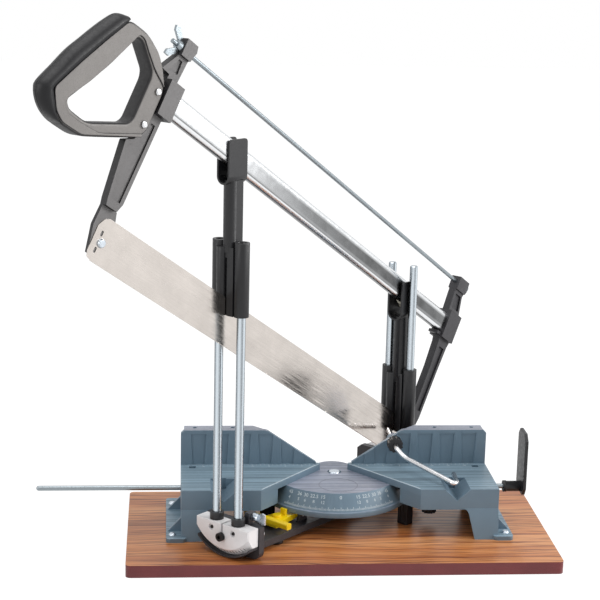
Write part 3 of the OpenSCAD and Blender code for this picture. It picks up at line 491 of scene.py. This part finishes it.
def filleted(loop, radius, most=0.45, steps=6):
    """Closed polygon with its corners rounded."""
    out = []
    for i, corner in enumerate(loop):
        out += rounded_corner(loop[i - 1], corner, loop[(i + 1) % len(loop)], radius, most, steps)
    return out


def ring(x, y, radius, steps=32):
    turns = [2 * math.pi * k / steps for k in range(steps)]
    return [(x + radius * math.cos(t), y + radius * math.sin(t)) for t in turns]


def plate(name, loops, half, edge, matrix, body, *keys):
    """Filled outline with holes, of half thickness half, its edges rounded by edge."""
    curve = bpy.data.curves.new(name, "CURVE")
    curve.dimensions = "2D"
    curve.fill_mode = "BOTH"
    curve.extrude = half - edge
    curve.bevel_depth = edge
    curve.bevel_resolution = 3
    curve.offset = -edge
    for loop in loops:
        spline = curve.splines.new("POLY")
        spline.points.add(len(loop) - 1)
        for point, (x, y) in zip(spline.points, loop):
            point.co = (x, y, 0, 1)
        spline.use_cyclic_u = True
    mesh = mesh_of(bpy.data.objects.new(name + "_outline", curve))
    mesh.transform(matrix)
    obj = add(name, mesh, body, *keys)
    split_edges(obj, 40)
    return obj


def tube(name, path, radius, corner, body, *keys, most=0.48, steps=8):
    """Round rod of given radius along points, bent at the corners."""
    bent = [path[0]]
    for before, p, after in zip(path, path[1:], path[2:]):
        bent += rounded_corner(before, p, after, corner, most, steps)
    bent.append(path[-1])
    curve = bpy.data.curves.new(name, "CURVE")
    curve.dimensions = "3D"
    curve.bevel_depth = radius
    curve.bevel_resolution = 6
    curve.use_fill_caps = True
    spline = curve.splines.new("POLY")
    spline.points.add(len(bent) - 1)
    for point, place in zip(spline.points, bent):
        point.co = tuple(place) + (1,)
    return add(name, mesh_of(bpy.data.objects.new(name + "_path", curve)), body, *keys)


def put_together(name, parts, body, *keys):
    """One flat-shaded piece from meshes that each come with a matrix."""
    made = bmesh.new()
    for mesh, matrix in parts:
        copy = mesh.copy()
        copy.transform(matrix)
        made.from_mesh(copy)
        bpy.data.meshes.remove(copy)
    mesh = bpy.data.meshes.new(name)
    made.to_mesh(mesh)
    made.free()
    return add(name, mesh, body, *keys, smooth=False)


def brick(x, y, z):
    """Block of that size round the origin."""
    made = bmesh.new()
    bmesh.ops.create_cube(made, size=1.0, matrix=Matrix.Diagonal((x, y, z, 1)))
    mesh = bpy.data.meshes.new("brick")
    made.to_mesh(mesh)
    made.free()
    return mesh


FIGURE_RAISE = 0.06 * MM
FONT_PER_FIGURE = 1.35


def numeral(text, height):
    """Raised figure lying in x and y, its middle at the origin."""
    data = bpy.data.curves.new("figure", "FONT")
    data.body = text
    data.size = height * FONT_PER_FIGURE
    data.align_x = "CENTER"
    data.align_y = "CENTER"
    data.extrude = FIGURE_RAISE
    data.resolution_u = 2
    return mesh_of(bpy.data.objects.new("figure", data))


# Scale on the sloping rim of the disc: degrees above, numbers of sides below, ticks along the lip

RIM_SLOPE = math.atan2(RIM_DROP, RIM_OUT)
RIM_TICK_W, RIM_TICK_H, RIM_TICK_LONG, RIM_TICK_SHORT = mm(0.45, 0.16, 4.2, 2.4)
RIM_TICK_FOOT = 20.6 * MM
RIM_LAST_DEGREE = 48
DEGREES_H, DEGREES_DOWN = mm(4.4, 5)
SIDES_H, SIDES_DOWN = mm(3.8, 11.4)
# Degrees, and the number of sides of the frame that the angle is for
RIM_MARKS = ((0, ""), (15, "12"), (22.5, "8"), (30, "6"), (36, "5"), (45, "4"))


def on_rim(degrees, down):
    """Place on the sloping rim: x along the rim, y up the slope, z outwards."""
    phi = math.radians(degrees)
    out = Vector((math.sin(phi), -math.cos(phi), 0))
    along = Vector((math.cos(phi), math.sin(phi), 0))
    up = Vector((0, 0, 1)) * math.sin(RIM_SLOPE) - out * math.cos(RIM_SLOPE)
    radius = DISC_FLAT_R + down * math.cos(RIM_SLOPE)
    spot = out * radius + Vector((0, 0, DISC_TOP - down * math.sin(RIM_SLOPE)))
    turn = Matrix((along, up, along.cross(up))).transposed().to_4x4()
    return Matrix.Translation(spot) @ turn


def rim_scale():
    parts = []
    for degrees in range(-RIM_LAST_DEGREE, RIM_LAST_DEGREE + 1):
        length = RIM_TICK_LONG if degrees % 5 == 0 else RIM_TICK_SHORT
        parts.append((brick(RIM_TICK_W, length, RIM_TICK_H), on_rim(degrees, RIM_TICK_FOOT - length / 2)))
    for degrees, sides in RIM_MARKS:
        for side in ((-1, 1) if degrees else (1,)):
            parts.append((numeral(str(degrees), DEGREES_H), on_rim(side * degrees, DEGREES_DOWN)))
            if sides:
                parts.append((numeral(sides, SIDES_H), on_rim(side * degrees, SIDES_DOWN)))
    put_together("rim_scale", parts, "base", "print")


# Scales on the tables along the foot of each fence

SCALE_STEP, SCALE_TICK_W, SCALE_TICK_H, SCALE_TICK_LONG, SCALE_TICK_SHORT = mm(5, 0.3, 0.1, 4, 2.4)
SCALE_FIGURE_H, SCALE_FIGURE_Y, SCALE_TICK_Y = 2.8 * MM, FENCE_Y - 7.4 * MM, FENCE_Y - 1 * MM
SCALE_FIRST, SCALE_LAST = 5, 33


def table_scale(side):
    """Ticks each 5 mm and figures each 20 mm."""
    parts = []
    for step in range(SCALE_FIRST, SCALE_LAST + 1):
        x = side * step * SCALE_STEP
        length = SCALE_TICK_LONG if step % 2 == 0 else SCALE_TICK_SHORT
        parts.append((brick(SCALE_TICK_W, length, SCALE_TICK_H),
                      Matrix.Translation((x, SCALE_TICK_Y - length / 2, TABLE_TOP))))
        if step % 4 == 0:
            parts.append((numeral(str(step // 2), SCALE_FIGURE_H),
                          Matrix.Translation((x, SCALE_FIGURE_Y, TABLE_TOP))))
    put_together("table_scale_right" if side > 0 else "table_scale_left", parts, "base", "print")


RING_Y, RING_OUTER_R, RING_INNER_R, RING_HALF, RING_EDGE = mm(-48, 23.3, 22.6, 0.1, 0.02)


def disc_ring():
    """Fine round line on the flat of the disc, in front of the pivot."""
    outline = [ring(0, RING_Y, radius, 72) for radius in (RING_OUTER_R, RING_INNER_R)]
    plate("disc_ring", outline, RING_HALF, RING_EDGE, Matrix.Translation((0, 0, DISC_TOP)), "base", "line")


rim_scale()
table_scale(1)
table_scale(-1)
disc_ring()


# Pale strips on the edges of the tables along the vee between them, partly rubbed paint and partly painted
# highlight

VEE_BACK, VEE_FRONT = Vector(mm(18.6, 5.5)), Vector(mm(94, -86))
STRIP_NEAR, STRIP_FAR, STRIP_HALF, STRIP_EDGE = mm(1.2, 2.6, 0.12, 0.04)
CLEAR_BACK, CLEAR_FRONT, CLEAR_MORE = mm(4, 3, 1)


def vee_edge(side):
    along = (VEE_FRONT - VEE_BACK).normalized()
    inwards = Vector((-along.y, along.x))
    corners = [VEE_BACK + along * CLEAR_BACK + inwards * STRIP_NEAR,
               VEE_FRONT - along * CLEAR_FRONT + inwards * STRIP_NEAR,
               VEE_FRONT - along * (CLEAR_FRONT + CLEAR_MORE) + inwards * STRIP_FAR,
               VEE_BACK + along * (CLEAR_BACK + CLEAR_MORE) + inwards * STRIP_FAR]
    loop = [(side * p.x, p.y) for p in corners]
    plate("vee_edge_right" if side > 0 else "vee_edge_left", [loop], STRIP_HALF, STRIP_EDGE,
          Matrix.Translation((0, 0, TABLE_TOP)), "base", "pale")


vee_edge(1)
vee_edge(-1)


# Front quadrant: a flat face, a cone with the bevel scale, and a dark lip below it on the plate

FRONT_S, QUAD_OUT, QUAD_IN, PLATE_GAP = mm(-191, 9.5, 8.5, 0.5)
FACE_S, BACK_S = FRONT_S - QUAD_OUT, FRONT_S + QUAD_IN
QUAD_W, QUAD_TOP = mm(39.4, -19.3)
FACE_R, SWEEP_R, LIP_R, LIP_GAP, LIP_SHORT, LIP_EDGE = mm(49.4, 56.8, 59.1, 0.4, 2, 0.2)
FACE_T, FACE_EDGE, CONE_T = mm(2, 0.7, 7)
RIB_R0, RIB_R1, RIB_H, RIB_W, RIB_EDGE = mm(45.9, 52.1, 2.8, 17.6, 0.1)
SLOT_W, SLOT_H = mm(1.5, 11)
HALF_GAP, SCREW_DROP, SCREW_HOLE_R = mm(16.5, 8, 3.6)
BEVEL_TICK_W, BEVEL_TICK_LONG, BEVEL_TICK_SHORT, BEVEL_TICK_H = mm(0.7, 5.4, 3.6, 0.2)
# Outlines drawn in x and y stand upright: x to the left of the arm, y up from the bevel line
UPRIGHT = Matrix(((0, 0, 1, 0), (1, 0, 0, 0), (0, 1, 0, 0), (0, 0, 0, 1)))


def across_arm(s):
    return AT_ARM @ Matrix.Translation((s, 0, TABLE_TOP)) @ UPRIGHT


def arc(radius, start, end, steps=40):
    """Points of an arc below the bevel line, between two places to the left of its middle."""
    a, b = math.asin(start / radius), math.asin(end / radius)
    turns = [a + (b - a) * k / steps for k in range(steps + 1)]
    return [(radius * math.sin(t), -radius * math.cos(t)) for t in turns]


def quadrant_top():
    """Upper edge with the slot in its middle."""
    slot_low = QUAD_TOP - SLOT_H
    return [(-QUAD_W, QUAD_TOP), (-SLOT_W, QUAD_TOP), (-SLOT_W, slot_low),
            (SLOT_W, slot_low), (SLOT_W, QUAD_TOP), (QUAD_W, QUAD_TOP)]


def quadrant_outline(radius):
    return quadrant_top() + arc(radius, QUAD_W, -QUAD_W)


def loft(name, sections, body, *keys):
    """Closed piece through sections, each a place along the arm and an outline with as many points."""
    verts = [across_arm(s) @ Vector((x, y, 0)) for s, loop in sections for x, y in loop]
    n = len(sections[0][1])
    faces = [tuple(range(n)), tuple(range(len(verts) - n, len(verts)))]
    for i in range(len(sections) - 1):
        for k in range(n):
            nxt = (k + 1) % n
            faces.append((i * n + k, i * n + nxt, (i + 1) * n + nxt, (i + 1) * n + k))
    piece = add(name, solid_mesh(name, verts, faces), body, *keys)
    split_edges(piece, 30)
    return piece


def quadrant_pieces():
    holes = [ring(side * HALF_GAP, QUAD_TOP - SCREW_DROP, SCREW_HOLE_R, 24) for side in (-1, 1)]
    plate("quadrant_face", [quadrant_outline(FACE_R)] + holes, FACE_T / 2, FACE_EDGE,
          across_arm(FACE_S + FACE_T / 2), "carriage", "cast")
    cone = loft("quadrant_body", [(FACE_S + FACE_T, quadrant_outline(FACE_R)),
                                  (FACE_S + FACE_T + CONE_T, quadrant_outline(SWEEP_R)),
                                  (BACK_S - RIB_H, quadrant_outline(SWEEP_R))], "carriage", "cast")
    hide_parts("front_quadrant")
    # The inner face has a groove, open to the left, for the arc rib of the plate
    inner = (quadrant_top() + arc(RIB_R0, QUAD_W, -RIB_W) + arc(RIB_R1, -RIB_W, QUAD_W)
             + arc(SWEEP_R, QUAD_W, -QUAD_W))
    plate("quadrant_inner", [inner], RIB_H / 2, RIB_EDGE, across_arm(BACK_S - RIB_H / 2), "carriage", "cast")


def quadrant_ticks():
    """Bevel scale: dark ticks up the cone."""
    slope = math.atan2(SWEEP_R - FACE_R, CONE_T)
    along_arm = Vector((1, 0, 0))
    middle = (FACE_R + SWEEP_R) / 2
    parts = []
    for degrees in range(-35, 36, 5):
        a = math.radians(degrees)
        outward = Vector((0, math.sin(a), -math.cos(a)))
        tangent = Vector((0, math.cos(a), math.sin(a)))
        up_cone = along_arm * math.cos(slope) + outward * math.sin(slope)
        turn = Matrix((tangent, up_cone, tangent.cross(up_cone))).transposed().to_4x4()
        spot = Vector((FACE_S + FACE_T + CONE_T / 2, 0, TABLE_TOP)) + outward * middle
        length = BEVEL_TICK_LONG if degrees % 15 == 0 else BEVEL_TICK_SHORT
        parts.append((brick(BEVEL_TICK_W, length, BEVEL_TICK_H), AT_ARM @ Matrix.Translation(spot) @ turn))
    put_together("bevel_scale", parts, "carriage", "rubber")


def plate_lip():
    """Lip on the front plate that follows the arc under the quadrant."""
    half = (QUAD_OUT + QUAD_IN + PLATE_GAP - LIP_SHORT) / 2
    loop = arc(LIP_R, -QUAD_W, QUAD_W) + arc(SWEEP_R + LIP_GAP, QUAD_W, -QUAD_W)
    plate("plate_lip", [loop], half, LIP_EDGE, across_arm(BACK_S + PLATE_GAP - half), "mitre_arm", "dark")


quadrant_pieces()
quadrant_ticks()
plate_lip()


# Saw blade with its teeth, in the saw's frame: u along the bar, v across it

BLADE_NEAR, BLADE_FAR, BLADE_LOW, BLADE_HIGH = mm(-364, 271, -184.5, -136.5)
BLADE_HALF, BLADE_EDGE = mm(0.4, 0.04)
TOOTH_PITCH, TOOTH_DEPTH = mm(1.8, 1.1)
TOOTH_LEAN = 0.72
# Corners that are cut off: below and above at the near end, below and above at the far end
HEEL, HEEL_MID, NOSE, TIP, TIP_TOP = mm(8, 2.5, 12, 12, 4)
NOSE_MID_U, NOSE_MID_V = mm(5, 3.5)
BOLT_V, NEAR_BOLT_U, FAR_BOLT_U, BOLT_HOLE_R = mm(-163, -351, 263, 3.02)
NOTCH_BACK, NOTCH_RISE, NOTCH_HALF_U, NOTCH_HALF_V, NOTCH_R = mm(4, 9, 1.6, 3, 1.5)


def blade_notch(u, v):
    corners = [(u - NOTCH_HALF_U, v - NOTCH_HALF_V), (u + NOTCH_HALF_U, v - NOTCH_HALF_V),
               (u + NOTCH_HALF_U, v + NOTCH_HALF_V), (u - NOTCH_HALF_U, v + NOTCH_HALF_V)]
    return filleted(corners, NOTCH_R)


def blade_piece():
    first, last = BLADE_NEAR + HEEL, BLADE_FAR - TIP
    count = int((last - first) / TOOTH_PITCH)
    teeth = []
    for i in range(count):
        u = first + i * (last - first) / count
        teeth += [(u, BLADE_LOW + TOOTH_DEPTH), (u + TOOTH_PITCH * TOOTH_LEAN, BLADE_LOW)]
    heel = [(BLADE_NEAR, BLADE_LOW + HEEL), (BLADE_NEAR + HEEL_MID, BLADE_LOW + HEEL_MID)]
    tip = [(last, BLADE_LOW + TOOTH_DEPTH), (BLADE_FAR, BLADE_LOW + TIP), (BLADE_FAR, BLADE_HIGH - TIP_TOP),
           (BLADE_FAR - TIP_TOP, BLADE_HIGH)]
    nose = [(BLADE_NEAR + NOSE, BLADE_HIGH), (BLADE_NEAR + NOSE_MID_U, BLADE_HIGH - NOSE_MID_V),
            (BLADE_NEAR, BLADE_HIGH - NOSE)]
    holes = [ring(u, BOLT_V, BOLT_HOLE_R) for u in (NEAR_BOLT_U, FAR_BOLT_U)]
    holes += [blade_notch(NEAR_BOLT_U - NOTCH_BACK, BOLT_V + rise) for rise in (-NOTCH_RISE, NOTCH_RISE)]
    piece = plate("toothed_blade", [heel + teeth + tip + nose] + holes, BLADE_HALF, BLADE_EDGE,
                  ON_SAW, "saw", "blade")
    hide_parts("blade")


blade_piece()


# Bar: a drawn tube with two flat sides and half-round edges

BAR_HALF_W, BAR_HALF_H, BAR_WALL = mm(6.5, 13.5, 1.4)


def stadium(half_w, half_h, steps=48):
    """Points round a section with two flat sides and half-round ends."""
    out = []
    for k in range(steps):
        turn = 2 * math.pi * (k + 0.5) / steps
        shift = math.copysign(half_h - half_w, math.sin(turn))
        out.append((half_w * math.cos(turn), half_w * math.sin(turn) + shift))
    return out


def bar_piece():
    verts, faces = [], []
    rims = ((BAR_NEAR, 0), (BAR_FAR, 0), (BAR_FAR, BAR_WALL), (BAR_NEAR, BAR_WALL))
    for u, inset in rims:
        section = stadium(BAR_HALF_W - inset, BAR_HALF_H - inset)
        verts += [AT_SAW @ Vector((u, y, z)) for y, z in section]
    n = len(verts) // len(rims)
    for i in range(len(rims)):
        here, there = i * n, (i + 1) % len(rims) * n
        for k in range(n):
            nxt = (k + 1) % n
            faces.append((here + k, there + k, there + nxt, here + nxt))
    piece = add("oval_bar", solid_mesh("oval_bar", verts, faces), "saw", "bar")
    split_edges(piece, 40)
    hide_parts("saw_bar")


bar_piece()


# Handle: a body, a raised panel on each side and a soft grip round the back

HAND_HALF, PANEL_BASE = mm(11, 1.4)
BODY_EDGE, BODY_R = mm(3.2, 9)
PANEL_HALF, PANEL_ROUND, PANEL_R = mm(1.5, 0.9, 5)
HANDLE_OUTLINE = mm_points(
    (-442, 41.2), (-412, 42), (-388, 33), (-377, 23), (-362.5, 4), (-362.5, -42), (-371, -53.5),
    (-420, -78), (-441, -88), (-470, -89), (-483, -82), (-497, -63), (-479, -26), (-461, 9))
FINGER_HOLE = mm_points(
    (-424, 31), (-416, 31), (-390, 13), (-387, 6), (-387, -40), (-391, -47), (-440, -72),
    (-466, -71), (-473, -65), (-456, -36), (-441, -9))
# The panel goes along the outside, then back along the finger hole, and leaves the rivets free
PANEL_TOP = mm_points((-443.5, 38), (-412.6, 39.6), (-390, 31), (-378, 21), (-366, 6), (-372, 9))
PANEL_HOLE = mm_points(
    (-387, 15), (-403, 25), (-416, 34), (-424, 34.5), (-430, 21), (-443, -8), (-457.5, -36),
    (-474, -62), (-476, -70), (-467, -76), (-446, -76), (-421, -73.5))
PANEL_LOW = mm_points(
    (-369, -47.5), (-367, -50.5), (-420, -76), (-441, -86), (-469, -87), (-482, -80.5), (-495, -63),
    (-477.6, -26), (-459.6, 9))
# Sections of the grip from the top down: inner edge, outer edge, half width
GRIP_STATIONS = mm_points(
    (-441, 41.4, -444, 44, 8.5), (-446.5, 33.6, -455, 40, 11), (-453, 22.5, -463, 29.5, 12.2),
    (-461, 9, -472, 14.5, 12.4), (-470, -8.5, -481, -2, 12.4), (-479, -26, -490.5, -19.5, 12.4),
    (-488, -44.5, -498.5, -40.5, 12.2), (-496, -63, -507, -62.5, 11.8), (-493, -69, -506.5, -71, 11.4),
    (-487, -75.5, -500, -79.5, 11), (-480, -82.5, -490, -85.5, 10.4), (-470, -87.5, -479, -88.2, 9.4),
    (-464, -88, -468, -88.4, 8))
GRIP_ANGLES = (-90, -75, -60, -45, -30, -18, -8, -3, 0, 3, 8, 18, 30, 45, 60, 75, 90)
GRIP_FULLNESS, GROOVE = 0.85, 0.05


def handle_piece():
    body = plate("handle_body", [filleted(HANDLE_OUTLINE, BODY_R), filleted(FINGER_HOLE, BODY_R)],
                 HAND_HALF - PANEL_BASE, BODY_EDGE, ON_SAW, "saw", "handle")
    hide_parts("handle_right", "handle_left")


def panel_pieces():
    loop = filleted(PANEL_TOP + PANEL_HOLE + PANEL_LOW, PANEL_R)
    for side, word in ((-1, "left"), (1, "right")):
        place = ON_SAW @ Matrix.Translation((0, 0, side * (HAND_HALF - PANEL_BASE)))
        plate("handle_panel_" + word, [loop], PANEL_HALF, PANEL_ROUND, place, "saw", "handle")


def smooth_path(rows, steps):
    """Rows of numbers with smooth in-between rows."""
    out = []
    for i in range(len(rows) - 1):
        near = [rows[max(0, min(len(rows) - 1, i + d))] for d in (-1, 0, 1, 2)]
        for k in range(steps):
            f = k / steps
            out.append(tuple(0.5 * (2 * b + (c - a) * f + (2 * a - 5 * b + 4 * c - d) * f * f
                                    + (3 * b - a - 3 * c + d) * f ** 3) for a, b, c, d in zip(*near)))
    out.append(tuple(rows[-1]))
    return out


def grip_piece():
    """Soft grip: half-round sections, with a parting groove down the middle of the back."""
    stations = smooth_path(GRIP_STATIONS, 4)
    verts, faces = [], []
    for pu, pv, qu, qv, width in stations:
        for angle in GRIP_ANGLES:
            reach = abs(math.cos(math.radians(angle))) ** GRIP_FULLNESS
            if angle == 0:
                reach -= GROOVE
            across = width * math.sin(math.radians(angle))
            verts.append(AT_SAW @ Vector((pu + (qu - pu) * reach, across, pv + (qv - pv) * reach)))
    n = len(GRIP_ANGLES)
    for i in range(len(stations) - 1):
        here, there = i * n, (i + 1) * n
        for k in range(n - 1):
            faces.append((here + k, here + k + 1, there + k + 1, there + k))
        faces.append((here + n - 1, here, there, there + n - 1))
    faces.append(tuple(range(n)))
    faces.append(tuple((len(stations) - 1) * n + k for k in reversed(range(n))))
    piece = add("soft_grip", solid_mesh("soft_grip", verts, faces), "saw", "rubber")
    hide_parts("handle_grip")


handle_piece()
panel_pieces()
grip_piece()


# Hold-down: one bent rod from the knob out over the vee notch, its heights given above the table

HOLD_DOWN_R, HOLD_DOWN_BEND = mm(3, 14)
HOLD_DOWN_PATH = mm_points((73.5, 58, 27.3), (73.5, -13.5, 27.3), (73.5, -17, 27.3), (81.5, -24, 19.3),
                           (132, -84, 7), (137, -80, 6), (139, -46, 5))
hold_down = tube("bent_hold_down", [(x, y, TABLE_TOP + z) for x, y, z in HOLD_DOWN_PATH], HOLD_DOWN_R,
                 HOLD_DOWN_BEND, "hold_down", "bright")
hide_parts("clamp_rod")


# Floor, light and camera

FLOOR_HALF, FLOOR_Z = 6.0, -0.5 * MM
FLOOR_GLOW, FLOOR_GLOW_SHARE = 1.2, 0.8
WORLD_LIGHT, WORLD_SEEN = 0.28, 1.0
LAMPS = (  # name, place, target, size, watts
    ("top", (-0.2, -0.3, 2.4), (0, 0, 0.2), 1.8, 24),
    ("left", (-1.9, -1.3, 1.0), (0, 0, 0.2), 1.2, 11),
    ("right", (2.2, -1.0, 1.1), (0, 0, 0.25), 1.8, 22),
    ("low_right", (2.0, -0.1, 1.0), (0, 0, 0.3), 0.8, 20),
)
# Camera solved from the board's corners, the disc and the fences in the photograph
CAMERA_AT = (-0.20696, -1.90628, 0.73646)
CAMERA_YAW, CAMERA_PITCH, CAMERA_ROLL = (math.radians(a) for a in (4.799, 13.359, 1.346))
FOCAL_PX, IMAGE_PX, SENSOR_WIDTH = 1654.5, 600, 36


def seen_rays(tree):
    """1 for rays from the camera and for reflected and transmitted rays, 0 for the light on the object."""
    path = tree.nodes.new("ShaderNodeLightPath")
    seen = path.outputs["Is Camera Ray"]
    for kind in ("Is Glossy Ray", "Is Transmission Ray"):
        either = tree.nodes.new("ShaderNodeMath")
        either.operation = "MAXIMUM"
        tree.links.new(seen, either.inputs[0])
        tree.links.new(path.outputs[kind], either.inputs[1])
        seen = either.outputs[0]
    return seen


def white_where_seen(surface):
    """White to the camera and in reflections, and a plain pale surface to the light, so a shadow stays."""
    tree = surface.tree
    glow = surface.node("ShaderNodeEmission", Strength=FLOOR_GLOW)
    mix = tree.nodes.new("ShaderNodeMixShader")
    surface.put(mix.inputs[0], surface.maths("MULTIPLY", seen_rays(tree), FLOOR_GLOW_SHARE))
    surface.put(mix.inputs[1], surface.shader.outputs[0])
    surface.put(mix.inputs[2], glow.outputs[0])
    surface.put(tree.nodes["Material Output"].inputs["Surface"], mix.outputs[0])


def make_floor():
    corners = [(x * FLOOR_HALF, y * FLOOR_HALF, 0) for x, y in ((-1, -1), (1, -1), (1, 1), (-1, 1))]
    mesh = bpy.data.meshes.new("floor")
    mesh.from_pydata(corners, [], [(0, 1, 2, 3)])
    floor = bpy.data.objects.new("floor", mesh)
    bpy.context.scene.collection.objects.link(floor)
    floor.location.z = FLOOR_Z
    surface = Surface("floor_white", 0.9)
    tone = surface.ramp(surface.noise(2, 2), (0.0, rgb(236, 236, 236)), (1.0, rgb(240, 240, 240)))
    surface.feed("Base Color", tone)
    white_where_seen(surface)
    floor.data.materials.append(surface.mat)


def make_world():
    world = bpy.data.worlds.new("studio")
    bpy.context.scene.world = world
    world.use_nodes = True
    tree = world.node_tree
    light = tree.nodes["Background"]
    light.inputs["Color"].default_value = (1, 1, 1, 1)
    level = tree.nodes.new("ShaderNodeMapRange")
    level.inputs["To Min"].default_value = WORLD_LIGHT
    level.inputs["To Max"].default_value = WORLD_SEEN
    tree.links.new(seen_rays(tree), level.inputs["Value"])
    tree.links.new(level.outputs["Result"], light.inputs["Strength"])


def area_light(name, place, target, size, power):
    data = bpy.data.lights.new(name, "AREA")
    data.shape = "SQUARE"
    data.size = size
    data.energy = power
    lamp = bpy.data.objects.new(name, data)
    lamp.location = place
    lamp.rotation_euler = (Vector(target) - Vector(place)).to_track_quat("-Z", "Y").to_euler()
    bpy.context.scene.collection.objects.link(lamp)


def make_camera():
    forward = Vector((math.sin(CAMERA_YAW) * math.cos(CAMERA_PITCH),
                      math.cos(CAMERA_YAW) * math.cos(CAMERA_PITCH), -math.sin(CAMERA_PITCH)))
    right = Vector((math.cos(CAMERA_YAW), -math.sin(CAMERA_YAW), 0))
    up = right.cross(forward)
    rolled_right = right * math.cos(CAMERA_ROLL) + up * math.sin(CAMERA_ROLL)
    rolled_up = up * math.cos(CAMERA_ROLL) - right * math.sin(CAMERA_ROLL)
    data = bpy.data.cameras.new("camera")
    data.sensor_width = SENSOR_WIDTH
    data.lens = FOCAL_PX / IMAGE_PX * SENSOR_WIDTH
    camera = bpy.data.objects.new("camera", data)
    turn = Matrix((rolled_right, rolled_up, -forward)).transposed().to_4x4()
    camera.matrix_world = Matrix.Translation(CAMERA_AT) @ turn
    bpy.context.scene.collection.objects.link(camera)
    bpy.context.scene.camera = camera


make_floor()
make_world()
for lamp_values in LAMPS:
    area_light(*lamp_values)
make_camera()
bpy.context.scene.view_settings.view_transform = "Standard"
